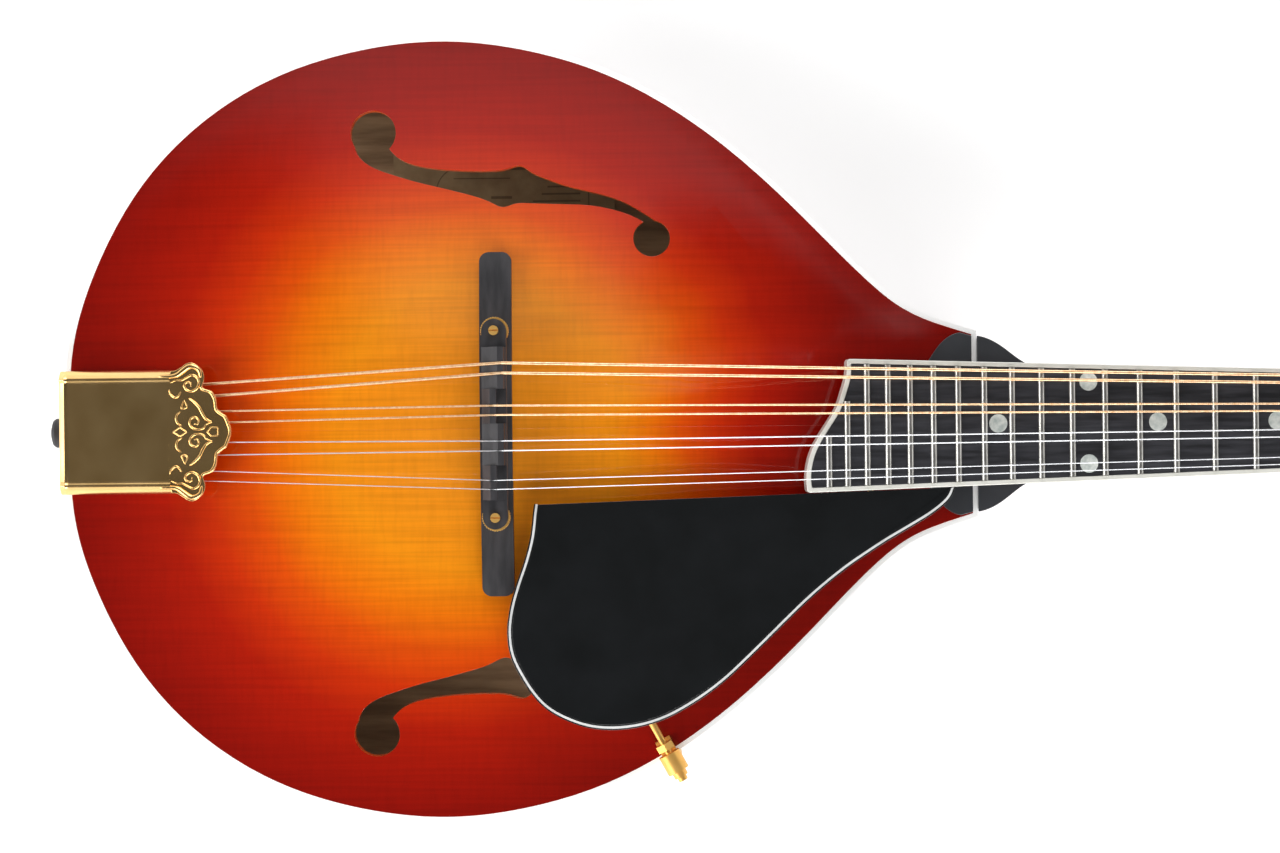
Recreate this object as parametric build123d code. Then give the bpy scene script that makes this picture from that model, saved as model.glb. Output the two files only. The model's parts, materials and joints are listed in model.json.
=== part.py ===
"""A-style mandolin with f-holes, built as separate pieces that fit together.

Work frame, in mm: X runs from the bridge to the nut, +Y is the bass side, Z is up.
X = 0 is the far end of the scale length, Z = 0 is the crown of the arched back.
At the end every piece is shifted so that the origin is the bottom centre of the whole.
"""

import os
from bisect import bisect_left
from math import atan2, cos, degrees, hypot, pi, radians, sin, tan

from build123d import *

# ---------------------------------------------------------------- sizes, mm
SCALE_LENGTH = 352.4
FRET_COUNT = 22

# body
BODY_END = 146.8
PLATE_END = 145.2
BINDING = 1.6
RIB_OUTSIDE = 0.6
RIB_INSIDE = -1.6
BACK_EDGE_Z = 9.5
BACK_GLUE_Z = 14.0
TOP_GLUE_Z = 55.0
TOP_EDGE_Z = 59.5
PLATE_THICKNESS = 4.5
GLUE_LINE = 0.06
TOP_RISE = 11.5
BACK_RISE = 9.5
ARCH_POWER = 1.6
ARCH_CENTRE_X = -8.0
LINING_INSIDE = -7.2
LINING_HEIGHT = 8.0
NECK_BLOCK_X = 122.0
TAIL_BLOCK_X = -124.0
TAIL_BLOCK_HALF = 40.0
OVERLAY_BOTTOM_Z = 58.7
OVERLAY_TOP_Z = 60.3

# half outline of the plates, from the tail to the neck
HALF_OUTLINE = [
    (-141.4, 0.0), (-139.8, 29.2), (-131.9, 53.5), (-116.0, 80.6), (-100.1, 96.8),
    (-76.3, 111.7), (-48.5, 120.5), (-20.7, 123.2), (3.2, 120.4), (27.0, 113.4),
    (47.0, 103.4), (66.7, 89.6), (82.6, 75.6), (98.5, 59.7), (110.4, 47.7),
    (122.3, 37.7), (134.2, 32.0), (146.2, 28.1), (152.0, 26.4),
]

# neck, in a frame tilted about Y whose top face is the face of the fingerboard
NECK_ANGLE = 5.0
BOARD_FACE_Z = 84.75
BOARD_THICKNESS = 5.5
BOARD_EDGE_BINDING = 1.55
BOARD_CORNER = 1.2
NUT_X = SCALE_LENGTH
NUT_THICKNESS = 5.0
NUT_HALF = 13.3
BOARD_END_X = 104.6
BOARD_END_HALF = 20.65
EXTENSION_THICKNESS = 3.6
FRET_WIDTH = 2.0
FRET_HEIGHT = 1.0
FRET_TANG = 0.6
FRET_TANG_DEPTH = 1.6
DOT_RADIUS = 2.9
DOT_DEPTH = 1.0
HEEL_TOP_Z = 61.0
HEEL_BOTTOM_Z = 11.5
SHOULDER_INSIDE = 17.8
SHOULDER_BOTTOM_Z = 59.4
TRUSS_ROD_RADIUS = 2.5
TRUSS_ROD_Z = -12.0
TRUSS_ROD_START = 154.0
TRUSS_ROD_END = 366.0
TRUSS_BORE_RADIUS = 2.55
TRUSS_NUT_LENGTH = 8.0
TRUSS_NUT_FLATS = 6.4
TRUSS_COVER_THICKNESS = 1.6
TRUSS_COVER_SCREWS = [(5.6, 7.2), (5.6, -7.2), (27.5, 0.0)]

# headstock, in a frame tilted further about Y whose Z = 0 is the wood under the overlay
HEAD_ANGLE = 14.0
HEAD_THICKNESS = 13.0
HEAD_OVERLAY = 2.0
POST_SPACING = 23.0
POST_FIRST_X = 34.0
POST_Y = 21.5
POST_RADIUS = 3.0
POST_TOP = 15.0
STRING_POST_Z = 6.5
RUNNING_GAP = 0.05
PLATE_METAL = 1.2
BUSHING_FLANGE_RADIUS = 4.6
BUSHING_SLEEVE_RADIUS = 3.9

# worm gears of the tuners
GEAR_TEETH = 16
GEAR_TIP_RADIUS = 5.6
GEAR_ROOT_RADIUS = 4.7
GEAR_THICKNESS = 3.0
GEAR_GAP = 1.4
WORM_LEAD = 2.06
WORM_TIP_RADIUS = 2.55
WORM_CORE_RADIUS = 1.7
WORM_TURNS = 3
GEAR_DISTANCE = 7.4
WORM_SHAFT_RADIUS = 1.5
WORM_TILT = degrees(atan2(WORM_LEAD, 2 * pi * 2.15))

# bridge and strings
SADDLE_CREST_X = [-2.9, -2.9, -5.3, -5.3, -2.9, -2.9, -5.3, -5.3]
STRING_SADDLE_Z = 88.5
STRING_NUT_Z = 1.6
STRING_BRIDGE_Y = [20.2, 17.1, 7.1, 4.2, -3.8, -6.8, -15.9, -18.7]
STRING_NUT_Y = [11.7, 9.7, 4.5, 2.5, -2.5, -4.5, -9.7, -11.7]
STRING_RADIUS = [0.51, 0.51, 0.33, 0.33, 0.19, 0.19, 0.14, 0.14]
STRING_POST = [0, 1, 2, 3, 7, 6, 5, 4]
BRIDGE_X = -5.2
BRIDGE_Y = 1.4
BRIDGE_BASE_LENGTH = 108.0
BRIDGE_BASE_WIDTH = 10.0
BRIDGE_BASE_ROUNDING = 3.0
STUD_SPACING = 57.8
STUD_RADIUS = 1.5
STUD_TOP_Z = 86.4
THREAD_PITCH = 0.8
WHEEL_RADIUS = 4.4
WHEEL_THICKNESS = 3.0
WHEEL_TOP_Z = 80.2
SADDLE_BOTTOM_Z = WHEEL_TOP_Z
SADDLE_LENGTH = 65.0
SADDLE_WIDTH = 7.6
SADDLE_SHOULDER_Z = 85.4
SADDLE_CREST_Z = 88.65

# tailpiece, in a frame tilted about Y that starts at the tail edge
TAIL_X = -144.0
TAIL_Z = 60.2
TAIL_TILT = 4.0
TAIL_METAL = 0.8
COVER_METAL = 0.9
COVER_INSIDE = 8.0
COVER_STRAIGHT = 37.0
COVER_HALF = 19.5
COVER_FLAT_HALF = 16.5
HOOK_X = 33.0
HOOK_Z = 2.4
END_PIN_Z = 34.5
END_PIN_RADIUS = 3.5
END_PIN_HEAD_RADIUS = 4.8

# pickguard
GUARD_THICKNESS = 2.0
GUARD_BINDING = 1.5
GUARD_TILT = 2.5
GUARD_TOP_Z = 77.8


# ---------------------------------------------------------------- frames
NECK = Location((0, 0, BOARD_FACE_Z), (0, NECK_ANGLE, 0))
HEAD = NECK * Location((NUT_X + NUT_THICKNESS, 0, -BOARD_THICKNESS), (0, HEAD_ANGLE, 0))
TAIL = Location((TAIL_X, 0, TAIL_Z), (0, -TAIL_TILT, 0))
GUARD = Location((0, 0, GUARD_TOP_Z), (0, GUARD_TILT, 0))

pieces = {}


# ---------------------------------------------------------------- helpers
def block(x0, x1, y0, y1, z0, z1):
    """Box between two corners."""
    centre = Pos((x0 + x1) / 2, (y0 + y1) / 2, (z0 + z1) / 2)
    return centre * Box(x1 - x0, y1 - y0, z1 - z0)


def rod(start, end, radius):
    """Round bar between two points."""
    start = Vector(*start)
    end = Vector(*end)
    plane = Plane(origin=start, z_dir=end - start)
    return Solid.make_cylinder(radius, (end - start).length, plane)


def prism(points, z0, z1):
    """Upright prism over a closed polygon."""
    return Pos(0, 0, z0) * extrude(make_face(Polyline(*points, close=True)), z1 - z0, dir=(0, 0, 1))


def spline_prism(curves, z0, z1):
    """Upright prism over a closed chain of curves."""
    return Pos(0, 0, z0) * extrude(Face(Wire(curves)), z1 - z0, dir=(0, 0, 1))


def mirrored(shape):
    """The same shape on the other side of the centre line."""
    return mirror(shape, Plane.XZ)


def together(shapes):
    """Several solids kept apart in one piece."""
    solids = [solid for shape in shapes for solid in shape.solids()]
    return Compound(children=solids)


def world(frame, x, y, z):
    """A point of a tilted frame in the work frame."""
    return (frame * Pos(x, y, z)).position


# ---------------------------------------------------------------- body outline and arching
half_curve = Spline(*HALF_OUTLINE, tangents=((0, 1), (1, -0.28)))


def outline_points(offset, count=48):
    """Half outline moved outwards by an offset."""
    points = []
    for index in range(count + 1):
        point = half_curve @ (index / count)
        along = half_curve % (index / count)
        points.append((point.X - along.Y * offset, point.Y + along.X * offset))
    return points


def body_prism(offset, z0, z1, x_end):
    """The body outline as an upright prism cut off square at the neck."""
    upper = outline_points(offset)
    lower = [(x, -y) for x, y in reversed(upper)]
    curves = [
        Spline(*upper, tangents=((0, 1), (1, -0.28))),
        Line(upper[-1], lower[0]),
        Spline(*lower, tangents=((-1, -0.28), (0, 1))),
    ]
    whole = spline_prism(curves, z0, z1)
    return whole & block(-200, x_end, -200, 200, z0, z1)


def edge_distances():
    """Angle and distance of the plate edge seen from the centre of the arching."""
    edge = [(x, y) for x, y in outline_points(0, 240) if x <= PLATE_END]
    corner = edge[-1][1]
    edge += [(PLATE_END, corner * (1 - step / 20)) for step in range(1, 21)]
    seen = [(atan2(y, x - ARCH_CENTRE_X), hypot(x - ARCH_CENTRE_X, y)) for x, y in edge]
    seen.sort()
    return [angle for angle, _ in seen], [distance for _, distance in seen]


EDGE_ANGLES, EDGE_DISTANCES = edge_distances()


def arch(x, y):
    """Height of the arching over its edge, from 0 to 1."""
    dx = x - ARCH_CENTRE_X
    angle = atan2(abs(y), dx)
    place = min(max(bisect_left(EDGE_ANGLES, angle), 1), len(EDGE_ANGLES) - 1)
    before, after = EDGE_ANGLES[place - 1], EDGE_ANGLES[place]
    share = (angle - before) / (after - before)
    edge = EDGE_DISTANCES[place - 1] * (1 - share) + EDGE_DISTANCES[place] * share
    part = hypot(dx, y) / edge
    if part >= 1:
        return 0.0
    return (1 - part * part) ** ARCH_POWER


def arch_face(base_z, rise):
    """Arched surface over the whole body."""
    rows = []
    for row in range(40):
        x = -152 + row * 308 / 39
        rows.append([Vector(x, y, base_z + rise * arch(x, y)) for y in range(-132, 133, 8)])
    return Face.make_surface_from_array_of_points(rows, tol=0.02)


top_face = arch_face(TOP_EDGE_Z, TOP_RISE)
back_face = arch_face(BACK_EDGE_Z, -BACK_RISE)
top_slab = Solid.extrude(top_face, Vector(0, 0, GLUE_LINE - PLATE_THICKNESS))
back_slab = Solid.extrude(back_face, Vector(0, 0, PLATE_THICKNESS - GLUE_LINE))
under_top = Solid.extrude(top_face, Vector(0, 0, -30))


# ---------------------------------------------------------------- f-holes
F_INNER = [
    (-50.0, 90.6), (-47.0, 85.0), (-43.0, 82.5), (-37.0, 80.3), (-32.0, 78.7), (-21.9, 76.1),
    (-11.8, 73.4), (-6.8, 71.5), (-2.7, 69.9), (0.8, 70.9), (5.0, 71.1), (15.9, 70.7),
    (26.0, 70.1), (31.0, 69.1), (36.0, 67.6), (42.5, 64.2),
]
F_OUTER = [
    (49.4, 61.0), (46.0, 64.6), (41.0, 68.1), (36.0, 71.0), (26.0, 74.4), (15.9, 77.0),
    (10.9, 78.9), (5.9, 81.2), (2.6, 83.1), (-0.8, 82.3), (-6.8, 81.5), (-16.8, 81.7),
    (-27.0, 82.8), (-34.5, 85.1), (-39.0, 89.2),
]
F_TAIL_EYE = (-43.9, 94.0, 7.2)
F_NECK_EYE = (44.0, 59.7, 5.8)


def f_hole_cutter():
    """Upright cutter in the shape of the bass f-hole."""
    stem_curves = [
        Spline(*F_INNER),
        Line(F_INNER[-1], F_OUTER[0]),
        Spline(*F_OUTER),
        Line(F_OUTER[-1], F_INNER[0]),
    ]
    stem = spline_prism(stem_curves, 50, 80)
    eyes = [Pos(x, y, 65) * Cylinder(radius, 30) for x, y, radius in (F_TAIL_EYE, F_NECK_EYE)]
    return stem + eyes


bass_f_hole = f_hole_cutter()
treble_f_hole = Pos(-0.7, -2.4, 0) * mirrored(bass_f_hole)


# ---------------------------------------------------------------- body pieces
def overlay_curves():
    """Edge of the black overlay round the neck joint."""
    side = [(131.0, 19.5), (133.9, 23.8), (136.2, 26.4), (138.8, 28.2), (141.5, 29.0)]
    other = [(x, -y) for x, y in reversed(side)]
    return [
        Spline(*side),
        Line(side[-1], (PLATE_END, 28.0)),
        Line((PLATE_END, 28.0), (PLATE_END, -28.0)),
        Line((PLATE_END, -28.0), other[0]),
        Spline(*other),
        Line(other[-1], side[0]),
    ]


pieces["neck_joint_overlay"] = spline_prism(overlay_curves(), OVERLAY_BOTTOM_Z, OVERLAY_TOP_Z)

top_whole = top_slab & body_prism(0, 50, 80, PLATE_END)
top_whole = top_whole - spline_prism(overlay_curves(), OVERLAY_BOTTOM_Z, OVERLAY_TOP_Z + 5)
pieces["top_plate_bass"] = (top_whole & block(-200, 200, 0, 200, 40, 90)) - bass_f_hole
pieces["top_plate_treble"] = (top_whole & block(-200, 200, -200, 0, 40, 90)) - treble_f_hole

back_whole = back_slab & body_prism(0, -5, 20, BODY_END)
pieces["back_plate_bass"] = back_whole & block(-200, 200, 0, 200, -10, 30)
pieces["back_plate_treble"] = back_whole & block(-200, 200, -200, 0, -10, 30)

pin_bore = rod((-160, 0, END_PIN_Z), (-110, 0, END_PIN_Z), END_PIN_RADIUS)
rib_ring = body_prism(RIB_OUTSIDE, BACK_GLUE_Z, TOP_GLUE_Z, BODY_END)
inside_prism = body_prism(RIB_INSIDE, BACK_GLUE_Z, TOP_GLUE_Z, BODY_END)
rib_ring = rib_ring - inside_prism - pin_bore
pieces["rib_bass"] = rib_ring & block(-200, 200, 0, 200, 0, 80)
pieces["rib_treble"] = rib_ring & block(-200, 200, -200, 0, 0, 80)


def edge_strip(z0, z1, x_end, inner_end):
    """Strip of binding round the edge of a plate."""
    outside = body_prism(BINDING, z0, z1, x_end)
    return outside - body_prism(0, z0, z1, inner_end)


pieces["top_binding"] = edge_strip(TOP_GLUE_Z, TOP_EDGE_Z, BODY_END, PLATE_END)
pieces["back_binding"] = edge_strip(BACK_EDGE_Z, BACK_GLUE_Z, BODY_END, BODY_END)

TENON = [(BODY_END, 9.0), (128.0, 12.0), (128.0, -12.0), (BODY_END, -9.0)]
tenon = prism(TENON, 18.0, TOP_GLUE_Z)
pieces["neck_block"] = (inside_prism & block(NECK_BLOCK_X, BODY_END, -60, 60, 0, 80)) - tenon
tail_block_room = block(-160, TAIL_BLOCK_X, -TAIL_BLOCK_HALF, TAIL_BLOCK_HALF, 0, 80)
pieces["tail_block"] = (inside_prism & tail_block_room) - pin_bore


def linings():
    """Strips that widen the glue faces of the ribs."""
    outer = body_prism(RIB_INSIDE, BACK_GLUE_Z, TOP_GLUE_Z, NECK_BLOCK_X)
    inner = body_prism(LINING_INSIDE, BACK_GLUE_Z, TOP_GLUE_Z, NECK_BLOCK_X)
    middle = block(-200, 200, -200, 200, BACK_GLUE_Z + LINING_HEIGHT, TOP_GLUE_Z - LINING_HEIGHT)
    return outer - inner - middle - tail_block_room


pieces["linings"] = together([linings()])


def tone_bar(side):
    """Bar that follows the underside of the top."""
    inner_face = Pos(0, 0, -PLATE_THICKNESS) * top_face
    follow = Solid.extrude(inner_face, Vector(0, 0, -9))
    turn = Location((-4, side * 22, 60), (0, 0, side * 3))
    return follow & (turn * Box(186, 6, 60))


pieces["tone_bars"] = together([tone_bar(1), tone_bar(-1)])

label_face = Pos(0, 0, PLATE_THICKNESS) * back_face
label_sheet = Solid.extrude(label_face, Vector(0, 0, 0.25))
pieces["label"] = label_sheet & block(-42, 32, 44, 92, -10, 30)


# ---------------------------------------------------------------- end pin and tailpiece
PLATE_OUT_X = -(141.4 + BINDING + 0.05)
tail_sheet_x = PLATE_OUT_X - TAIL_METAL


def end_pin():
    """Pin with a domed head, turned round the X axis."""
    start = tail_sheet_x
    profile = [
        (0.0, -118.0), (END_PIN_RADIUS - 0.5, -118.0), (END_PIN_RADIUS, -130.0),
        (END_PIN_RADIUS, start), (END_PIN_HEAD_RADIUS, start), (END_PIN_HEAD_RADIUS, start - 1.2),
        (3.9, start - 2.0), (3.9, start - 3.0), (END_PIN_HEAD_RADIUS, start - 4.0),
        (END_PIN_HEAD_RADIUS, start - 7.0), (4.2, start - 7.9), (2.4, start - 8.5),
        (0.0, start - 8.7),
    ]
    points = [(x, 0, radius + END_PIN_Z) for radius, x in profile]
    face = make_face(Polyline(*points, close=True))
    return revolve(face, Axis((0, 0, END_PIN_Z), (1, 0, 0)))


pieces["end_pin"] = end_pin()
for name in ("rib_bass", "rib_treble", "tail_block"):
    pieces[name] = pieces[name] - pieces["end_pin"]

BASE_HALF = 14.0
BASE_LENGTH = 36.0
BASE_FOOT_Z = 19.0


def tailpiece_base():
    """Bent plate with a hook for each string, held by the end pin and screws."""
    flat = TAIL * block(0.2, BASE_LENGTH, -BASE_HALF, BASE_HALF, 0, TAIL_METAL)
    down = block(tail_sheet_x, PLATE_OUT_X, -BASE_HALF, BASE_HALF, BASE_FOOT_Z, TAIL_Z + TAIL_METAL)
    hooks = []
    for y in tail_string_y():
        post = block(HOOK_X - 3.6, HOOK_X - 2.4, y - 0.8, y + 0.8, TAIL_METAL - 0.1, HOOK_Z + 1.3)
        lip = block(HOOK_X - 5.2, HOOK_X - 2.4, y - 0.8, y + 0.8, HOOK_Z + 0.8, HOOK_Z + 1.6)
        hooks.append(TAIL * post)
        hooks.append(TAIL * lip)
    return (flat + down + hooks) - pin_bore - screw_bores()


def tail_string_y():
    """Spread of the strings where they hook on."""
    return [y * 0.62 for y in STRING_BRIDGE_Y]


TAIL_SCREWS = [(9.0, 50.0), (-9.0, 50.0), (0.0, 23.5)]


def tail_screw(y, z):
    """Round-headed screw into the tail block."""
    head = rod((tail_sheet_x - 1.4, y, z), (tail_sheet_x, y, z), 2.6)
    shank = rod((tail_sheet_x, y, z), (-128, y, z), 1.3)
    slot = block(tail_sheet_x - 1.5, tail_sheet_x - 0.9, y - 2.7, y + 2.7, z - 0.35, z + 0.35)
    return (head + shank) - slot


def screw_bores():
    """Bores of the tailpiece screws."""
    return [rod((-150, y, z), (-128, y, z), 1.3) for y, z in TAIL_SCREWS]


pieces["tailpiece_base"] = tailpiece_base()
pieces["tailpiece_screws"] = together([tail_screw(y, z) for y, z in TAIL_SCREWS])
for name in ("rib_bass", "rib_treble", "tail_block"):
    pieces[name] = pieces[name] - screw_bores()


def cover_edge(inset):
    """Half plan of the scrolled lip of the cover."""
    lip = [
        (COVER_STRAIGHT, COVER_HALF), (40.5, 20.6), (43.4, 21.8), (46.0, 20.6), (47.4, 17.8),
        (47.0, 15.6), (46.0, 14.2), (48.2, 12.9), (49.8, 10.6), (50.0, 8.4), (50.8, 6.6),
        (53.0, 5.0), (53.8, 3.2), (54.6, 1.4),
    ]
    return [(x - inset, y) for x, y in lip]


def tailpiece_cover():
    """Pressed cover with sloping sides and a scrolled front lip."""
    top_z = COVER_INSIDE + COVER_METAL
    middle = COVER_STRAIGHT / 2
    outer = loft([
        Pos(middle, 0, 0.2) * Rectangle(COVER_STRAIGHT, 2 * COVER_HALF),
        Pos(middle + 0.8, 0, top_z) * Rectangle(COVER_STRAIGHT - 1.6, 2 * COVER_FLAT_HALF),
    ])
    inner = loft([
        Pos(middle + 2.0, 0, -0.8) * Rectangle(COVER_STRAIGHT + 2.0, 2 * COVER_HALF - 1.6),
        Pos(middle + 2.8, 0, COVER_INSIDE) * Rectangle(COVER_STRAIGHT + 0.4, 2 * COVER_FLAT_HALF - 1.6),
    ])
    side = cover_edge(0)
    other = [(x, -y) for x, y in reversed(side)]
    lip_points = [(COVER_STRAIGHT - 2.0, 16.0)] + side + other + [(COVER_STRAIGHT - 2.0, -16.0)]
    lip = prism(lip_points, COVER_INSIDE, top_z)
    base_notch = block(-1, 1.5, -BASE_HALF - 0.6, BASE_HALF + 0.6, -1, TAIL_METAL + 0.5)
    return TAIL * ((outer - inner - base_notch) + lip)


pieces["tailpiece_cover"] = tailpiece_cover()


# ---------------------------------------------------------------- neck
def board_half(x):
    """Half width of the fingerboard at a place along the neck."""
    share = (x - BOARD_END_X) / (NUT_X - BOARD_END_X)
    return BOARD_END_HALF + share * (NUT_HALF - BOARD_END_HALF)


def shaft_section(x, depth):
    """Rounded section across the neck, flat on top."""
    half = board_half(x)
    points = []
    for step in range(13):
        angle = pi * step / 12
        drop = depth * sin(angle) ** 0.85 if 0 < step < 12 else 0.0
        points.append(Vector(x, half * cos(angle), -BOARD_THICKNESS - drop))
    curve = Edge.make_spline(points)
    return Face(Wire([curve, Edge.make_line(points[-1], points[0])]))


HEEL_PLAN = [
    (0.0, 28.0), (4.1, 26.8), (7.3, 25.0), (10.5, 22.6), (14.0, 20.0), (20.0, 16.5),
    (26.5, 9.5), (29.5, 0.0),
]


def heel_section(z, width, length):
    """Flat section through the heel."""
    side = [(BODY_END + x * length, y * width) for x, y in HEEL_PLAN]
    other = [(x, -y) for x, y in reversed(side[:-1])]
    points = [Vector(x, y, z) for x, y in side + other]
    curve = Edge.make_spline(points)
    return Face(Wire([curve, Edge.make_line(points[-1], points[0])]))


HEAD_HALF_PLAN = [
    (0.0, 13.4), (5.0, 14.6), (10.0, 19.5), (15.0, 27.5), (21.0, 31.6), (30.0, 32.4),
    (60.0, 32.6), (90.0, 33.4), (112.0, 34.4), (124.0, 35.0), (131.0, 33.6), (135.0, 29.5),
    (139.0, 24.5), (145.0, 20.5), (150.5, 14.0), (153.8, 7.0), (155.0, 0.0),
]


def head_prism(z0, z1, x_start):
    """Outline of the headstock as a prism in the headstock frame."""
    points = HEAD_HALF_PLAN + [(x, -y) for x, y in reversed(HEAD_HALF_PLAN[:-1])]
    curves = [Spline(*points), Line(points[-1], points[0])]
    return spline_prism(curves, z0, z1) & block(x_start, 200, -60, 60, z0, z1)


def post_spots():
    """Places of the eight posts in the headstock frame, with the side they are on."""
    spots = []
    for side in (1, -1):
        for number in range(4):
            spots.append((POST_FIRST_X + number * POST_SPACING, side * POST_Y, side))
    return spots


truss_bore = NECK * rod((TRUSS_ROD_START - 1, 0, TRUSS_ROD_Z), (376, 0, TRUSS_ROD_Z), TRUSS_BORE_RADIUS)
truss_pocket = NECK * block(360.4, 382.0, -4.8, 4.8, -16.4, 2.0)
nut_x_end = NUT_X + NUT_THICKNESS


def neck():
    """Shaft, heel, tenon, extension over the body and headstock in one piece."""
    sections = [(150.0, 15.5), (190.0, 16.5), (250.0, 15.4), (310.0, 14.0), (nut_x_end + 1.0, 12.6)]
    shaft = loft([shaft_section(x, depth) for x, depth in sections])
    shaft_root = block(147.2, 151.0, -board_half(150), board_half(150), -14.0, -BOARD_THICKNESS)
    heel = loft([
        heel_section(HEEL_BOTTOM_Z, 0.40, 0.52),
        heel_section(30.0, 0.50, 0.60),
        heel_section(48.0, 0.74, 0.80),
        heel_section(HEEL_TOP_Z, 1.0, 1.0),
    ])
    extension = block(106.5, 151.0, -17.0, 17.0, -BOARD_THICKNESS - EXTENSION_THICKNESS, -BOARD_THICKNESS)
    head = HEAD * head_prism(-HEAD_THICKNESS, 0, -1.0)
    post_holes = [HEAD * Pos(x, y, -6) * Cylinder(BUSHING_SLEEVE_RADIUS, 20) for x, y, _ in post_spots()]
    body = NECK * (shaft + shaft_root) + heel
    body = body & block(BODY_END, 600, -60, 60, -60, 100)
    body = body + NECK * extension + tenon + head
    above_shaft = NECK * block(90, nut_x_end, -60, 60, -BOARD_THICKNESS, 30)
    above_head = HEAD * block(0, 200, -60, 60, 0, 30)
    return body - above_shaft - above_head - post_holes - truss_bore - truss_pocket - screw_pilots()


def head_screw_spots():
    """Screws of the headstock: place, top of the head, direction."""
    cover_top = HEAD_OVERLAY + TRUSS_COVER_THICKNESS
    spots = [(x, y, cover_top, 1) for x, y in TRUSS_COVER_SCREWS]
    for side in (1, -1):
        for number in range(5):
            x = POST_FIRST_X - POST_SPACING / 2 + number * POST_SPACING
            spots.append((x + 1.0, side * POST_Y, -HEAD_THICKNESS - PLATE_METAL, -1))
    return spots


def screw_pilots():
    """Pilot bores of the headstock screws."""
    return [
        HEAD * rod((x, y, z - up * 8.0), (x, y, z + up * 2.0), 0.8)
        for x, y, z, up in head_screw_spots()
    ]


def head_screws():
    """Small screws with slotted round heads."""
    screws = []
    for x, y, z, up in head_screw_spots():
        head = rod((x, y, z), (x, y, z + up * 0.9), 1.9)
        shank = rod((x, y, z), (x, y, z - up * 7.0), 0.8)
        slot = Pos(x, y, z + up * 0.9) * Box(4.0, 0.5, 0.8)
        screws.append(HEAD * ((head + shank) - slot))
    return together(screws)


whole_neck = neck()
shoulder_half = block(BODY_END, 180.0, SHOULDER_INSIDE, 40.0, SHOULDER_BOTTOM_Z, HEEL_TOP_Z + 1)
shoulder_room = [shoulder_half, mirrored(shoulder_half)]
pieces["neck"] = whole_neck - shoulder_room
shoulders = [whole_neck & room for room in shoulder_room]
pieces["neck_joint_overlay"] = together([pieces["neck_joint_overlay"]] + shoulders)
cap = Solid.extrude(heel_section(BACK_EDGE_Z, 0.40, 0.52), Vector(0, 0, HEEL_BOTTOM_Z - BACK_EDGE_Z))
pieces["heel_cap"] = cap


# ---------------------------------------------------------------- fingerboard
BOARD_CURVE = [
    (104.6, 20.65), (104.3, 14.1), (103.2, 10.5), (101.6, 5.9), (99.2, 1.8), (95.8, -3.4),
    (93.4, -8.0), (92.1, -12.6), (91.7, -16.8), (92.0, -21.0),
]


def board_prism(inset, z0, z1):
    """Plan of the fingerboard, moved inwards, as a prism in the neck frame."""
    inner = []
    for number, (x, y) in enumerate(BOARD_CURVE):
        before = BOARD_CURVE[max(number - 1, 0)]
        after = BOARD_CURVE[min(number + 1, len(BOARD_CURVE) - 1)]
        length = hypot(after[0] - before[0], after[1] - before[1])
        inner.append((
            x + inset * (before[1] - after[1]) / length,
            y - inset * (before[0] - after[0]) / length,
        ))
    inner[0] = (BOARD_CURVE[0][0] + inset, board_half(BOARD_END_X + inset) - inset)
    inner[-1] = (BOARD_CURVE[-1][0] + inset, inset - board_half(BOARD_CURVE[-1][0] + inset))
    nut_corner = NUT_HALF - inset
    curves = [
        Spline(*inner),
        Line(inner[-1], (NUT_X, -nut_corner)),
        Line((NUT_X, -nut_corner), (NUT_X, nut_corner)),
        Line((NUT_X, nut_corner), inner[0]),
    ]
    return spline_prism(curves, z0, z1)


def fret_x(number):
    """Place of a fret along the fingerboard."""
    return SCALE_LENGTH * 2 ** (-number / 12)


def fret_span(number):
    """Place of a fret and its two ends, the last two cut short by the curved end of the board."""
    x = fret_x(number)
    half = board_half(x) - BOARD_EDGE_BINDING - 0.05
    bass_end = {FRET_COUNT - 1: 7.4, FRET_COUNT: -3.4}.get(number, half)
    return x, -half, bass_end


FRETS = [fret_span(number) for number in range(1, FRET_COUNT + 1)]


def dot_spots():
    """Places of the position dots along and across the board."""
    spots = []
    for number in (3, 5, 7, 10, 12, 15):
        x = (fret_x(number) + fret_x(number - 1)) / 2
        offsets = (12.9, -12.9) if number == 12 else (0.0,)
        spots += [(x, y) for y in offsets]
    return spots


def fret_tang(x, y0, y1):
    """Foot of a fret, sunk in the board."""
    return block(x - FRET_TANG / 2, x + FRET_TANG / 2, y0, y1, -FRET_TANG_DEPTH, 0)


def fret(x, y0, y1):
    """Rounded crown over its tang, between the bindings."""
    crown = Rotation(90, 0, 0) * extrude(Ellipse(FRET_WIDTH / 2, FRET_HEIGHT), (y1 - y0) / 2, both=True)
    crown = Pos(x, (y0 + y1) / 2, 0) * crown
    return NECK * ((crown & block(x - 2, x + 2, y0, y1, 0, 2)) + fret_tang(x, y0, y1))


board = board_prism(BOARD_EDGE_BINDING, -BOARD_THICKNESS, 0) - [fret_tang(*span) for span in FRETS]
dots = [Pos(x, y, -DOT_DEPTH / 2) * Cylinder(DOT_RADIUS, DOT_DEPTH) for x, y in dot_spots()]
pieces["fingerboard"] = NECK * (board - dots)
outline = board_prism(0, -BOARD_THICKNESS, 0)
corners = outline.edges().filter_by(Axis.Z).sort_by(Axis.X)[:2]
binding = fillet(corners, BOARD_CORNER) - board_prism(BOARD_EDGE_BINDING, -BOARD_THICKNESS, 0)
pieces["fingerboard_binding"] = NECK * binding
pieces["frets"] = together([fret(*span) for span in FRETS])
pieces["position_dots"] = together([NECK * dot for dot in dots])


# ---------------------------------------------------------------- truss rod
rod_ends = [(x, 0, TRUSS_ROD_Z) for x in (TRUSS_ROD_START, TRUSS_ROD_END)]
pieces["truss_rod"] = NECK * rod(*rod_ends, TRUSS_ROD_RADIUS)


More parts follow.
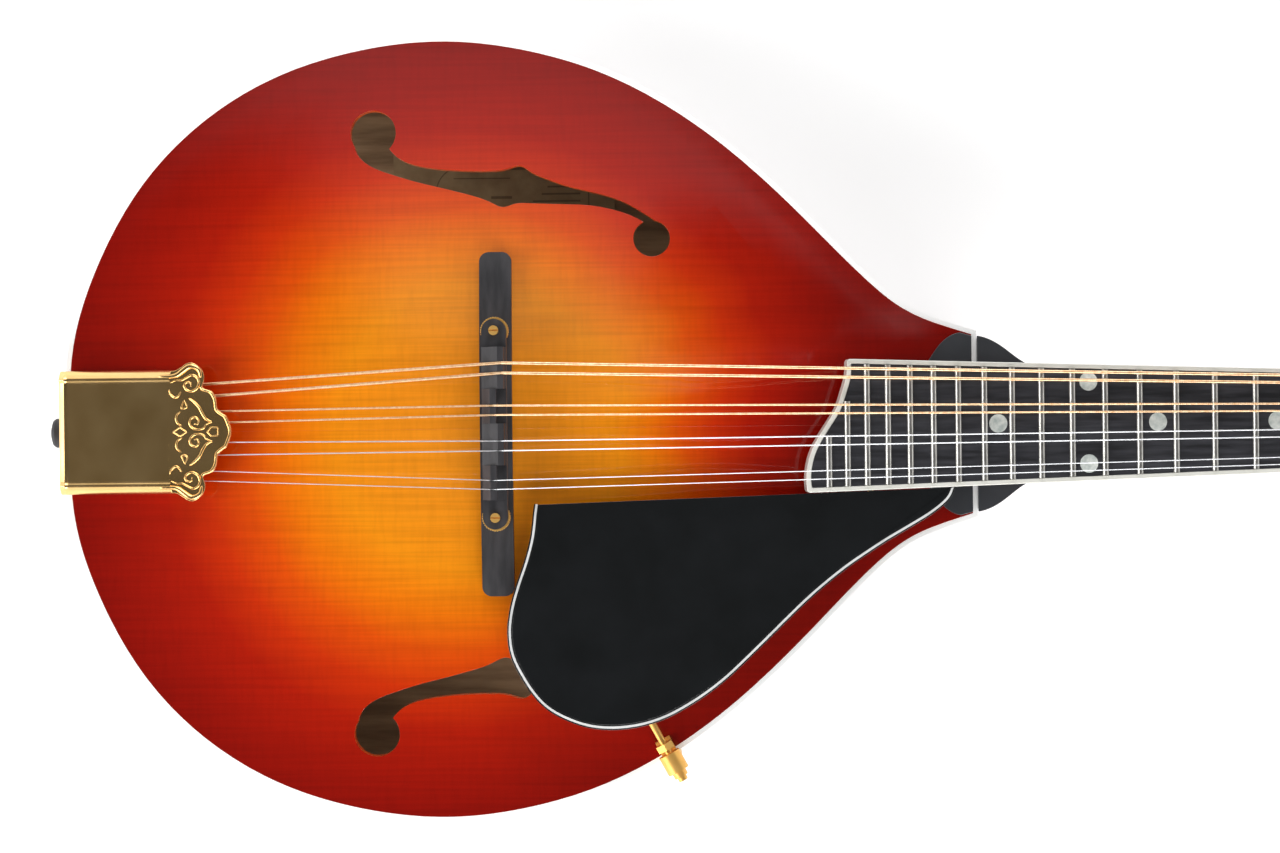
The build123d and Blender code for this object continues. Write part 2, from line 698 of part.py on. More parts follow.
def truss_nut():
    """Hexagon nut on the end of the truss rod."""
    hexagon = extrude(RegularPolygon(TRUSS_NUT_FLATS / 2, 6, major_radius=False), TRUSS_NUT_LENGTH)
    bore = Pos(0, 0, 3) * Cylinder(TRUSS_BORE_RADIUS, 10)
    return NECK * (Location((361.0, 0, TRUSS_ROD_Z), (0, 90, 0)) * (hexagon - bore))


pieces["truss_rod_nut"] = truss_nut()
COVER_PLAN = [
    (1.0, 8.6), (4.0, 10.0), (9.0, 9.6), (15.0, 6.8), (21.0, 5.0), (28.0, 4.4), (31.0, 2.4), (31.8, 0.0),
]


def truss_cover():
    """Bell-shaped cover over the truss rod pocket."""
    points = COVER_PLAN + [(x, -y) for x, y in reversed(COVER_PLAN[:-1])]
    curves = [Spline(*points), Line(points[-1], points[0])]
    return HEAD * spline_prism(curves, HEAD_OVERLAY, HEAD_OVERLAY + TRUSS_COVER_THICKNESS)


pilots = screw_pilots()
pieces["truss_rod_cover"] = truss_cover() - pilots
pieces["headstock_screws"] = head_screws()
overlay_cut = NECK * block(300, nut_x_end, -60, 60, -30, 30)
post_wells = [HEAD * Pos(x, y, 0) * Cylinder(BUSHING_SLEEVE_RADIUS, 20) for x, y, _ in post_spots()]
head_face = HEAD * head_prism(0, HEAD_OVERLAY, -2.0)
pieces["headstock_overlay"] = head_face - overlay_cut - truss_pocket - post_wells - pilots


# ---------------------------------------------------------------- strings
def string_points(number):
    """Hook, saddle, nut and post points of one string."""
    post_x, post_y, side = post_spots()[STRING_POST[number]]
    reach = POST_RADIUS - 0.5 + STRING_RADIUS[number] + 0.15
    hook = world(TAIL, HOOK_X, tail_string_y()[number], HOOK_Z)
    saddle = Vector(SADDLE_CREST_X[number], STRING_BRIDGE_Y[number], STRING_SADDLE_Z)
    nut = world(NECK, NUT_X + 1.0, STRING_NUT_Y[number], STRING_NUT_Z)
    post = world(HEAD, post_x, post_y - side * reach, STRING_POST_Z)
    return [hook, saddle, nut, post]


def string(number, gap=0.0):
    """One string as a bent round wire."""
    radius = STRING_RADIUS[number] + gap
    points = string_points(number)
    parts = [rod(tuple(a), tuple(b), radius) for a, b in zip(points, points[1:])]
    knees = [Pos(*point) * Sphere(radius) for point in points[1:-1]]
    return parts[0] + parts[1:] + knees


pieces["strings_wound"] = together([string(number) for number in range(4)])
pieces["strings_plain"] = together([string(number) for number in range(4, 8)])


def nut():
    """Slotted nut at the end of the fingerboard."""
    blank = block(NUT_X, nut_x_end, -NUT_HALF, NUT_HALF, -BOARD_THICKNESS, STRING_NUT_Z + 0.6)
    shape = fillet(blank.edges().filter_by(Axis.Y).group_by(Axis.Z)[-1], 1.2)
    return NECK * shape


pieces["nut"] = nut() - [string(number) for number in range(8)]


# ---------------------------------------------------------------- tuners
def worm():
    """Worm round its own Z axis, its thread facing +X at whole numbers of leads."""
    length = WORM_TURNS * WORM_LEAD
    half_root, half_tip, sunk = 0.52, 0.24, 0.25
    path = Helix(WORM_LEAD, length, WORM_CORE_RADIUS)
    section = Polyline(
        (WORM_CORE_RADIUS - sunk, 0, -half_root), (WORM_TIP_RADIUS, 0, -half_tip),
        (WORM_TIP_RADIUS, 0, half_tip), (WORM_CORE_RADIUS - sunk, 0, half_root), close=True,
    )
    thread = Solid.sweep(make_face(section).face(), path, is_frenet=True)
    return Pos(0, 0, -length / 2) * thread


def knob():
    """Button, shaft and worm round the Z axis, with the gear centre at Z = 0."""
    core = Cylinder(WORM_CORE_RADIUS, 8.2)
    shaft = rod((0, 0, -6.2), (0, 0, 16.5), WORM_SHAFT_RADIUS)
    collar = rod((0, 0, 6.6), (0, 0, 8.0), 2.4)
    button = Pos(0, 0, 22.5) * Box(6.6, 13.0, 12.0)
    button = fillet(button.edges(), 2.6)
    neck_ring = rod((0, 0, 15.2), (0, 0, 17.5), 3.0)
    return core + shaft + collar + button + neck_ring + WORM


def post():
    """Post, gear and screw round the Z axis of the headstock frame, at its origin."""
    gear_top = -HEAD_THICKNESS - PLATE_METAL - GEAR_GAP
    gear_mid = gear_top - GEAR_THICKNESS / 2
    barrel = rod((0, 0, gear_top - 0.5), (0, 0, 4.2), POST_RADIUS)
    waist = rod((0, 0, 4.0), (0, 0, 11.0), POST_RADIUS - 0.5)
    crown = rod((0, 0, 11.0), (0, 0, POST_TOP), POST_RADIUS)
    eye = rod((-5, 0, 8.5), (5, 0, 8.5), 0.8)
    wheel = Pos(0, 0, gear_mid) * Cylinder(GEAR_ROOT_RADIUS, GEAR_THICKNESS)
    tooth_face = Polyline(
        (GEAR_ROOT_RADIUS - 0.4, -0.56), (GEAR_TIP_RADIUS, -0.26),
        (GEAR_TIP_RADIUS, 0.26), (GEAR_ROOT_RADIUS - 0.4, 0.56), close=True,
    )
    tooth = extrude(make_face(tooth_face), GEAR_THICKNESS, both=True)
    slab = Cylinder(GEAR_TIP_RADIUS, GEAR_THICKNESS)
    tilted = (Rotation(-WORM_TILT, 0, 0) * tooth) & slab
    step = 360 / GEAR_TEETH
    teeth = [Pos(0, 0, gear_mid) * (Rotation(0, 0, n * step) * tilted) for n in range(GEAR_TEETH)]
    turned = (barrel + waist + crown + wheel + teeth) - eye
    screw_z = gear_top - GEAR_THICKNESS
    head = rod((0, 0, screw_z), (0, 0, screw_z - 1.5), 2.3)
    slot = Pos(0, 0, screw_z - 1.5) * Box(5.0, 0.7, 1.2)
    return together([turned, head - slot])


WORM = worm()
KNOB = knob()
POST = post()
worm_z = -HEAD_THICKNESS - PLATE_METAL - GEAR_GAP - GEAR_THICKNESS / 2
for number, (x, y, side) in enumerate(post_spots(), start=1):
    axis_spot = Plane(origin=(x + GEAR_DISTANCE, y, worm_z), x_dir=(-1, 0, 0), z_dir=(0, side, 0))
    pieces[f"tuner_knob_{number}"] = HEAD * (axis_spot.location * KNOB)
    pieces[f"tuner_post_{number}"] = HEAD * (Pos(x, y, 0) * POST)


def tuner_plate(side):
    """Plate of four tuners with two ears for each worm shaft."""
    first = POST_FIRST_X - 14.5
    last = POST_FIRST_X + 3 * POST_SPACING + 16.5
    z1 = -HEAD_THICKNESS
    z0 = z1 - PLATE_METAL
    middle = side * POST_Y
    plate = block(first, last, middle - 6.0, middle + 6.0, z0, z1)
    ears = []
    bores = []
    for x, y, spot_side in post_spots():
        if spot_side != side:
            continue
        worm_x = x + GEAR_DISTANCE
        for shift in (-5.3, 5.3):
            middle_y = y + shift
            ears.append(block(worm_x - 2.9, worm_x + 2.9, middle_y - 0.6, middle_y + 0.6, worm_z - 3.0, z1))
        bores.append(rod((worm_x, y - 9, worm_z), (worm_x, y + 9, worm_z), WORM_SHAFT_RADIUS + RUNNING_GAP))
        bores.append(rod((x, y, z0 - 1), (x, y, z1 + 1), POST_RADIUS + RUNNING_GAP))
    return HEAD * ((plate + ears) - bores) - pilots


pieces["tuner_plate_bass"] = tuner_plate(1)
pieces["tuner_plate_treble"] = tuner_plate(-1)


def bushing(x, y):
    """Flanged bushing of a post."""
    flange = rod((x, y, HEAD_OVERLAY), (x, y, HEAD_OVERLAY + 1.2), BUSHING_FLANGE_RADIUS)
    sleeve = rod((x, y, -4), (x, y, HEAD_OVERLAY), BUSHING_SLEEVE_RADIUS)
    bore = rod((x, y, -5), (x, y, 5), POST_RADIUS + RUNNING_GAP)
    return HEAD * ((flange + sleeve) - bore)


pieces["post_bushings"] = together([bushing(x, y) for x, y, _ in post_spots()])


# ---------------------------------------------------------------- bridge
STUDS_Y = (BRIDGE_Y + STUD_SPACING / 2, BRIDGE_Y - STUD_SPACING / 2)


def bridge_base():
    """Base that stands on the arched top on two feet."""
    half = BRIDGE_BASE_LENGTH / 2
    rising = [(-half, 70.6), (-half + 4, 71.6), (-38, 73.4), (-24, 75.2)]
    upper = rising + [(0, 76.4)] + [(-y, z) for y, z in reversed(rising)]
    rise = Spline(*[(0, y, z) for y, z in upper])
    floor = Polyline((0, half, 70.6), (0, half, 60), (0, -half, 60), (0, -half, 70.6))
    side_view = Face(Wire([rise, *floor.edges()]))
    blank = Pos(-BRIDGE_BASE_WIDTH / 2, 0, 0) * Solid.extrude(side_view, Vector(BRIDGE_BASE_WIDTH, 0, 0))
    plan = RectangleRounded(BRIDGE_BASE_WIDTH, BRIDGE_BASE_LENGTH, BRIDGE_BASE_ROUNDING)
    blank = Pos(BRIDGE_X, BRIDGE_Y, 0) * (blank & (Pos(0, 0, 55) * extrude(plan, 30)))
    arch_cut = Pos(BRIDGE_X, BRIDGE_Y, 0) * block(-10, 10, -18, 18, 60, 73.2)
    studs = [rod((BRIDGE_X, y, 71.0), (BRIDGE_X, y, 90), STUD_RADIUS) for y in STUDS_Y]
    return blank - under_top - arch_cut - studs


def bridge_studs():
    """Threaded studs with slotted tops."""
    studs = []
    for y in STUDS_Y:
        stud = rod((BRIDGE_X, y, 71.0), (BRIDGE_X, y, STUD_TOP_Z), STUD_RADIUS)
        slot = Pos(BRIDGE_X, y, STUD_TOP_Z) * Box(4, 0.5, 1.4)
        studs.append(stud - slot)
    return together(studs)


def thumbwheel(y):
    """Knurled wheel that carries the saddle."""
    wheel = rod((BRIDGE_X, y, WHEEL_TOP_Z - WHEEL_THICKNESS), (BRIDGE_X, y, WHEEL_TOP_Z), WHEEL_RADIUS)
    bore = rod((BRIDGE_X, y, 70), (BRIDGE_X, y, 90), STUD_RADIUS + RUNNING_GAP)
    grooves = []
    for step in range(36):
        angle = 2 * pi * step / 36
        spot = Pos(BRIDGE_X + WHEEL_RADIUS * cos(angle), y + WHEEL_RADIUS * sin(angle), WHEEL_TOP_Z - 1.5)
        grooves.append(spot * (Rotation(0, 0, degrees(angle) + 45) * Box(0.34, 0.34, 4)))
    return wheel - bore - grooves


# steps of the crest: first side, last side and crest of each pair of strings
SADDLE_STEPS = [(12.3, 25.2, -2.9), (1.6, 12.3, -5.3), (-11.3, 1.6, -2.9), (-22.0, -11.3, -5.3)]


def across(profile, y0, y1):
    """Side view, as pairs of x and z, drawn out across the instrument."""
    side_view = Face(Wire(Polyline(*[(x, y0, z) for x, z in profile], close=True).edges()))
    return Solid.extrude(side_view, Vector(0, y1 - y0, 0))


def saddle_step(y0, y1, crest):
    """Ramp up to the crest under one pair of strings."""
    back = BRIDGE_X - SADDLE_WIDTH / 2
    front = BRIDGE_X + SADDLE_WIDTH / 2
    low = SADDLE_SHOULDER_Z - 1.0
    profile = [
        (back, low), (back, SADDLE_SHOULDER_Z), (crest - 1.1, SADDLE_CREST_Z),
        (crest + 0.8, SADDLE_CREST_Z), (crest + 1.0, SADDLE_SHOULDER_Z + 0.6),
        (front, SADDLE_SHOULDER_Z), (front, low),
    ]
    return across(profile, y0, y1)


def string_notch(number):
    """Room above one string, so that the saddle can be lowered."""
    hook, crest, nut_end, _ = string_points(number)
    behind = crest + (hook - crest) * (4 / (crest.X - hook.X))
    ahead = crest + (nut_end - crest) * (4 / (nut_end.X - crest.X))
    half = STRING_RADIUS[number] + 2 * RUNNING_GAP
    profile = [(behind.X, 95)] + [(point.X, point.Z) for point in (behind, crest, ahead)] + [(ahead.X, 95)]
    return across(profile, crest.Y - half, crest.Y + half)


def bridge_saddle():
    """Saddle with a stepped crest and string slots."""
    plan = SlotOverall(SADDLE_LENGTH, SADDLE_WIDTH, rotation=90)
    height = SADDLE_SHOULDER_Z - SADDLE_BOTTOM_Z
    bar = Pos(BRIDGE_X, BRIDGE_Y, SADDLE_BOTTOM_Z) * extrude(plan, height)
    underside = block(-20, 10, BRIDGE_Y - 20, BRIDGE_Y + 20, 70, SADDLE_BOTTOM_Z + 1.6)
    stud_bores = [rod((BRIDGE_X, y, 70), (BRIDGE_X, y, 95), STUD_RADIUS + RUNNING_GAP) for y in STUDS_Y]
    slots = [string(number, RUNNING_GAP) for number in range(8)]
    slots += [string_notch(number) for number in range(8)]
    steps = [saddle_step(*step) for step in SADDLE_STEPS]
    return (bar + steps) - underside - stud_bores - slots


pieces["bridge_base"] = bridge_base()
pieces["bridge_studs"] = bridge_studs()
pieces["thumbwheel_bass"] = thumbwheel(STUDS_Y[0])
pieces["thumbwheel_treble"] = thumbwheel(STUDS_Y[1])
pieces["bridge_saddle"] = bridge_saddle()


# ---------------------------------------------------------------- pickguard
GUARD_EDGE = [
    (6.5, -23.5), (6.1, -26.1), (5.2, -33.6), (3.3, -41.0), (0.7, -48.5), (-1.4, -55.9),
    (-2.3, -63.4), (-1.3, -70.9), (2.3, -78.4), (6.3, -84.2), (10.7, -88.3), (16.9, -91.6),
    (23.1, -93.6), (29.3, -94.3), (35.6, -94.0), (41.8, -92.8), (48.0, -90.6), (54.3, -87.3),
    (60.7, -83.2), (67.0, -78.3), (73.3, -72.5), (79.6, -66.5), (85.9, -60.4), (92.2, -54.5),
    (98.5, -49.2), (104.8, -44.4), (111.1, -40.2), (117.3, -36.3), (123.6, -32.7),
    (129.9, -29.0), (134.6, -25.6), (137.2, -22.8), (138.4, -19.95),
]


def guard_prism(inset, z0, z1):
    """Plan of the pickguard, moved inwards, as a prism in its tilted frame."""
    inner = []
    for number, (x, y) in enumerate(GUARD_EDGE):
        before = GUARD_EDGE[max(number - 1, 0)]
        after = GUARD_EDGE[min(number + 1, len(GUARD_EDGE) - 1)]
        length = hypot(after[0] - before[0], after[1] - before[1])
        inner.append((
            x - inset * (after[1] - before[1]) / length,
            y + inset * (after[0] - before[0]) / length,
        ))
    slope = (GUARD_EDGE[-1][1] - GUARD_EDGE[0][1]) / (GUARD_EDGE[-1][0] - GUARD_EDGE[0][0])
    inner[0] = (GUARD_EDGE[0][0] + inset, GUARD_EDGE[0][1] + inset * slope)
    inner[-1] = (GUARD_EDGE[-1][0] - inset, GUARD_EDGE[-1][1] - inset * slope)
    curves = [Spline(*inner), Line(inner[-1], inner[0])]
    return spline_prism(curves, z0, z1)


guard_field = guard_prism(GUARD_BINDING, -GUARD_THICKNESS, 0)
pieces["pickguard"] = GUARD * guard_field
pieces["pickguard_binding"] = GUARD * (guard_prism(0, -GUARD_THICKNESS, 0) - guard_field)

BRACKET_X, BRACKET_Y, BRACKET_Z = 46.6, -100.8, 66.5
BRACKET_TURN = degrees(atan2(-0.88, 0.48))
BRACKET = Location((BRACKET_X, BRACKET_Y, BRACKET_Z), (0, 0, BRACKET_TURN))

guard_pin = rod((112, -30, 67.6), (112, -13, 67.6), 1.0)


def guard_mounts():
    """Rod, nut and block at the edge, block and pin at the neck."""
    bar = rod((-24.0, 0, 0), (2.4, 0, 0), 1.1)
    nut_shape = extrude(RegularPolygon(2.65, 6, major_radius=False), 2.2)
    nut_shape = Location((-1.1, 0, 0), (0, 90, 0)) * nut_shape
    guard_underside = GUARD_TOP_Z - BRACKET_X * tan(radians(GUARD_TILT)) - GUARD_THICKNESS
    foot = block(-26.0, -14.0, -4.0, 4.0, -2.2, guard_underside - BRACKET_Z + 0.4)
    under_guard = GUARD * block(-60, 200, -120, 0, -30, -GUARD_THICKNESS)
    foot = (BRACKET * foot) & under_guard
    bar = BRACKET * bar
    ring = (BRACKET * nut_shape) - bar
    neck_foot = block(106, 118, -33, -22.2, 65.2, 80) & under_guard
    return together([bar, ring, foot - bar, neck_foot - guard_pin, guard_pin])


def guard_clamp():
    """Stepped barrel that hangs a clamp over the edge of the body."""
    barrel = rod((2.4, 0, 0), (8.7, 0, 0), 3.5)
    step = rod((8.7, 0, 0), (10.6, 0, 0), 2.25)
    tip = rod((10.6, 0, 0), (12.0, 0, 0), 1.5)
    notch = block(11.2, 12.2, -2, 2, -0.3, 0.3)
    reach = 6.1
    leg = block(reach - 1.2, reach + 1.2, -2.5, 2.5, 7.6 - BRACKET_Z, -3.0)
    lower_hook = block(-2.0, reach + 1.2, -2.5, 2.5, 7.6 - BRACKET_Z, 8.8 - BRACKET_Z)
    upper_hook = block(-2.0, reach, -2.5, 2.5, 60.3 - BRACKET_Z, 61.5 - BRACKET_Z)
    shape = (barrel + step + tip + leg + lower_hook + upper_hook) - notch
    return BRACKET * shape


pieces["pickguard_mounts"] = guard_mounts()
pieces["pickguard_clamp"] = guard_clamp()
pieces["neck"] = pieces["neck"] - guard_pin


# ---------------------------------------------------------------- common frame and files
boxes = [shape.bounding_box() for shape in pieces.values()]
x_middle = (min(box.min.X for box in boxes) + max(box.max.X for box in boxes)) / 2
y_middle = (min(box.min.Y for box in boxes) + max(box.max.Y for box in boxes)) / 2
z_lowest = min(box.min.Z for box in boxes)
shift = Pos(-x_middle, -y_middle, -z_lowest)
print("shift", -x_middle, -y_middle, -z_lowest)

os.makedirs("parts", exist_ok=True)
for name, shape in pieces.items():
    export_step(shift * shape, f"parts/{name}.step")
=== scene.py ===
"""Looks of the A-style mandolin: finishes, fine shapes, studio and camera."""

import json
from math import atan2, cos, hypot, pi, radians, sin

import bmesh
import bpy
from mathutils import Matrix, Vector

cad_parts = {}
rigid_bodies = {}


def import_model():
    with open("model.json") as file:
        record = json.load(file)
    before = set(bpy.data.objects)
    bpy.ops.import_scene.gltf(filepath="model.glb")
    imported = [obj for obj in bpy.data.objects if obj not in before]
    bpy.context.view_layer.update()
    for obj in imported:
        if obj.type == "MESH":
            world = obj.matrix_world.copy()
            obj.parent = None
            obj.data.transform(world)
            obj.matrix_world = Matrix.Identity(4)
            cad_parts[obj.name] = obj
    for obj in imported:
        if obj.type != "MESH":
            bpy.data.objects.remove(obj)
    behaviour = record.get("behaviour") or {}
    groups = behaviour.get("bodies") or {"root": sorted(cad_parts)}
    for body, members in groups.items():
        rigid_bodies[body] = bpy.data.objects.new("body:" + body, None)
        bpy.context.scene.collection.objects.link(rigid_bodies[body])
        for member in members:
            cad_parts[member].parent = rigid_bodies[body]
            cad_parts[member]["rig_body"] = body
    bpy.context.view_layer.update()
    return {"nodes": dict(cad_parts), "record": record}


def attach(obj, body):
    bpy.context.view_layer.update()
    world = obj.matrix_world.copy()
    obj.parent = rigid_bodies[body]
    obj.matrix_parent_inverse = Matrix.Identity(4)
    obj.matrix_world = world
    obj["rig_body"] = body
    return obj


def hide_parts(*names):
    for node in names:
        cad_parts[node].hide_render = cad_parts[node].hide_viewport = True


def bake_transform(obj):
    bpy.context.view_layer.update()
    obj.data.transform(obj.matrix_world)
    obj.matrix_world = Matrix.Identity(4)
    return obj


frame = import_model()
NODES = frame["nodes"]

# ------------------------------------------------------------------ sizes, mm
# The work frame has X = 0 at the far end of the scale length and Z = 0 at the back's crown.
SHIFT_X = -175.1086
SHIFT_Z = 14.6333
SCALE_LENGTH = 352.4
NECK_ANGLE = 5.0
HEAD_ANGLE = 14.0
BOARD_FACE_Z = 84.75
BOARD_THICKNESS = 5.5
NUT_THICKNESS = 5.0
ARCH_CENTRE_X = -8.0
TAIL_ORIGIN = (-144.0, 60.2)
TAIL_TILT = 4.0
POST_FIRST_X = 34.0
POST_SPACING = 23.0
POST_Y = 21.5
STRING_POST_Z = 6.5

# strengths of the light tent, of the dark field above and of the soft panel in it
TENT_LIGHT = 1.1
OVERHEAD_LIGHT = 0.06
PANEL_LIGHT = 0.5
# each area light: its name, its direction round the instrument in degrees and its power
SOFTBOXES = [("left", 200, 22.0), ("front", 285, 24.0), ("back", 80, 15.5)]
SOFTBOX_SIZE = (1.3, 1.1)
SOFTBOX_LEAN = 61.0
SOFTBOX_DISTANCE = 1.9
FLOOR_SIZE = 12.0
# from the back's crown to the point where the headstock rests
REST_SPAN = 505.0

# the camera, in the work frame
CAMERA_PLACE = (39.7, 0.2, 923.75)
CAMERA_ROLL = -0.6
CAMERA_LENS = 76.5

ROOT = "instrument"


# ------------------------------------------------------------------ frames
def at(x, y, z):
    """A point of the work frame in the row frame, in metres."""
    return Vector(((x + SHIFT_X) / 1000, y / 1000, (z + SHIFT_Z) / 1000))


def tilted(angle, x, y, z):
    """A vector turned about Y."""
    turn = radians(angle)
    return (x * cos(turn) + z * sin(turn), y, z * cos(turn) - x * sin(turn))


def neck_at(x, y, z):
    """A point of the fingerboard's frame."""
    a, b, c = tilted(NECK_ANGLE, x, y, z)
    return at(a, b, c + BOARD_FACE_Z)


def head_at(x, y, z):
    """A point of the headstock's frame."""
    a, b, c = tilted(HEAD_ANGLE, x, y, z)
    return neck_at(a + SCALE_LENGTH + NUT_THICKNESS, b, c - BOARD_THICKNESS)


def tail_at(x, y, z):
    """A point of the tailpiece's frame."""
    a, b, c = tilted(-TAIL_TILT, x, y, z)
    return at(a + TAIL_ORIGIN[0], b, c + TAIL_ORIGIN[1])


# ------------------------------------------------------------------ materials
def linear(red, green, blue):
    """A colour given in 0 to 255 as shader values."""
    values = []
    for channel in (red, green, blue):
        part = channel / 255
        values.append(part / 12.92 if part <= 0.04045 else ((part + 0.055) / 1.055) ** 2.4)
    return (*values, 1.0)


class Shader:
    """A small helper to wire one Principled material."""

    def __init__(self, name, colour, rough=0.4, metal=0.0, coat=0.0, coat_rough=0.03, specular=0.5):
        self.material = bpy.data.materials.new(name)
        self.material.use_nodes = True
        self.nodes = self.material.node_tree.nodes
        self.links = self.material.node_tree.links
        self.base = self.nodes["Principled BSDF"]
        self.base.inputs["Base Color"].default_value = colour
        self.base.inputs["Roughness"].default_value = rough
        self.base.inputs["Metallic"].default_value = metal
        self.base.inputs["Coat Weight"].default_value = coat
        self.base.inputs["Coat Roughness"].default_value = coat_rough
        self.base.inputs["Specular IOR Level"].default_value = specular
        self.material.diffuse_color = colour

    def add(self, kind, **values):
        node = self.nodes.new(kind)
        for key, value in values.items():
            setattr(node, key, value)
        return node

    def join(self, output, target):
        self.links.new(output, target)

    def place(self, scale=(1, 1, 1)):
        """Object coordinates, stretched."""
        source = self.add("ShaderNodeTexCoord")
        mapping = self.add("ShaderNodeMapping")
        mapping.inputs["Scale"].default_value = scale
        self.join(source.outputs["Object"], mapping.inputs["Vector"])
        return mapping.outputs["Vector"]

    def math(self, operation, first, second=None):
        node = self.add("ShaderNodeMath", operation=operation)
        for socket, value in zip(node.inputs, (first, second)):
            if value is None:
                continue
            if isinstance(value, (int, float)):
                socket.default_value = value
            else:
                self.join(value, socket)
        return node.outputs[0]

    def noise(self, scale, stretch=(1, 1, 1), detail=4.0, rough=0.55):
        node = self.add("ShaderNodeTexNoise")
        node.inputs["Scale"].default_value = scale
        node.inputs["Detail"].default_value = detail
        node.inputs["Roughness"].default_value = rough
        self.join(self.place(stretch), node.inputs["Vector"])
        return node.outputs[0]

    def ramp(self, value, stops):
        node = self.add("ShaderNodeValToRGB")
        band = node.color_ramp
        while len(band.elements) < len(stops):
            band.elements.new(0.5)
        for element, (place, colour) in zip(band.elements, stops):
            element.position = place
            element.color = colour
        self.join(value, node.inputs[0])
        return node.outputs["Color"]

    def mix(self, factor, first, second, blend="MIX"):
        node = self.add("ShaderNodeMix", data_type="RGBA", blend_type=blend)
        for socket, value in ((node.inputs[0], factor), (node.inputs[6], first), (node.inputs[7], second)):
            if isinstance(value, (int, float, tuple)):
                socket.default_value = value
            else:
                self.join(value, socket)
        return node.outputs[2]

    def colour(self, output):
        self.join(output, self.base.inputs["Base Color"])


# the burst closes in before the neck joint: share of the edge distance, by angle from the neck
BURST_TO_NECK = [0.69, 0.72, 0.80, 0.91]


def edge_distances(count=25):
    """Reach of the burst from the centre of the arching, by angle."""
    centre = at(ARCH_CENTRE_X, 0, 0)
    best = [0.0] * count
    for vertex in NODES["top_plate_bass"].data.vertices:
        dx, dy = vertex.co.x - centre.x, vertex.co.y
        place = round(atan2(abs(dy), dx) / pi * (count - 1))
        best[place] = max(best[place], hypot(dx, dy))
    for place, share in enumerate(BURST_TO_NECK):
        best[place] *= share
    return best


EDGE_DISTANCES = edge_distances()


def edge_share(shader):
    """0 at the centre of the arching and 1 at the edge of the plates, as a socket."""
    centre = at(ARCH_CENTRE_X, 0, 0)
    parts = shader.add("ShaderNodeSeparateXYZ")
    shader.join(shader.place(), parts.inputs[0])
    dx = shader.math("SUBTRACT", parts.outputs[0], centre.x)
    dy = shader.math("ABSOLUTE", parts.outputs[1])
    angle = shader.math("DIVIDE", shader.math("ARCTAN2", dy, dx), pi)
    curve = shader.add("ShaderNodeFloatCurve")
    points = curve.mapping.curves[0].points
    count = len(EDGE_DISTANCES)
    furthest = max(EDGE_DISTANCES)
    while len(points) < count:
        points.new(0.5, 0.5)
    for number, distance in enumerate(EDGE_DISTANCES):
        points[number].location = (number / (count - 1), distance / furthest)
    curve.mapping.update()
    shader.join(angle, curve.inputs["Value"])
    edge = shader.math("MULTIPLY", curve.outputs[0], furthest)
    squares = shader.math("ADD", shader.math("MULTIPLY", dx, dx), shader.math("MULTIPLY", dy, dy))
    radius = shader.math("SQRT", squares)
    return shader.math("DIVIDE", radius, edge)


TOP_BURST = [
    (0.00, linear(244, 150, 34)), (0.36, linear(245, 146, 16)), (0.47, linear(240, 120, 5)),
    (0.57, linear(224, 80, 4)), (0.67, linear(202, 48, 4)), (0.77, linear(174, 26, 3)),
    (0.88, linear(156, 18, 3)), (1.00, linear(138, 12, 3)),
]
BACK_BURST = [
    (0.00, linear(178, 74, 20)), (0.45, linear(158, 52, 16)), (0.70, linear(112, 26, 10)),
    (1.00, linear(74, 12, 8)),
]


def spruce():
    """Glossy sunburst over fine straight-grained spruce."""
    amber = linear(230, 120, 10)
    shader = Shader("spruce_top_finish", amber, rough=0.4, coat=1.0, coat_rough=0.05, specular=0.03)
    share = edge_share(shader)
    wander = shader.math("MULTIPLY", shader.math("SUBTRACT", shader.noise(14, detail=2.0), 0.5), 0.05)
    burst = shader.ramp(shader.math("ADD", share, wander), TOP_BURST)
    grain = shader.noise(1.0, (22, 900, 22), detail=3.0)
    lines = shader.ramp(grain, [(0.30, (0.74, 0.70, 0.66, 1)), (0.62, (1, 1, 1, 1))])
    silk = shader.noise(1.0, (700, 90, 90), detail=2.0)
    cross = shader.ramp(silk, [(0.25, (0.93, 0.92, 0.90, 1)), (0.6, (1, 1, 1, 1))])
    colour = shader.mix(0.55, burst, shader.mix(1.0, burst, lines, "MULTIPLY"))
    shader.colour(shader.mix(1.0, colour, cross, "MULTIPLY"))
    return shader.material


def maple(name, stops, flame_scale):
    """Glossy flamed maple with a burst."""
    shader = Shader(name, stops[0][1], rough=0.36, coat=1.0, coat_rough=0.05, specular=0.15)
    burst = shader.ramp(edge_share(shader), stops)
    wave = shader.add("ShaderNodeTexWave", wave_type="BANDS", bands_direction="X")
    wave.inputs["Scale"].default_value = flame_scale
    wave.inputs["Distortion"].default_value = 5.0
    wave.inputs["Detail"].default_value = 3.0
    wave.inputs["Detail Scale"].default_value = 1.4
    shader.join(shader.place((1.0, 0.35, 0.35)), wave.inputs["Vector"])
    flame = shader.ramp(wave.outputs["Color"], [(0.15, (0.62, 0.55, 0.50, 1)), (0.75, (1, 1, 1, 1))])
    grain = shader.noise(1.0, (30, 500, 500), detail=3.0)
    pores = shader.ramp(grain, [(0.35, (0.82, 0.80, 0.78, 1)), (0.60, (1, 1, 1, 1))])
    flamed = shader.mix(0.8, burst, shader.mix(1.0, burst, flame, "MULTIPLY"))
    shader.colour(shader.mix(1.0, flamed, pores, "MULTIPLY"))
    return shader.material


def grained(name, dark, light, rough, stretch):
    """Plain wood with straight grain."""
    shader = Shader(name, light, rough=rough)
    shader.colour(shader.ramp(shader.noise(1.0, stretch, detail=5.0), [(0.35, dark), (0.68, light)]))
    return shader.material


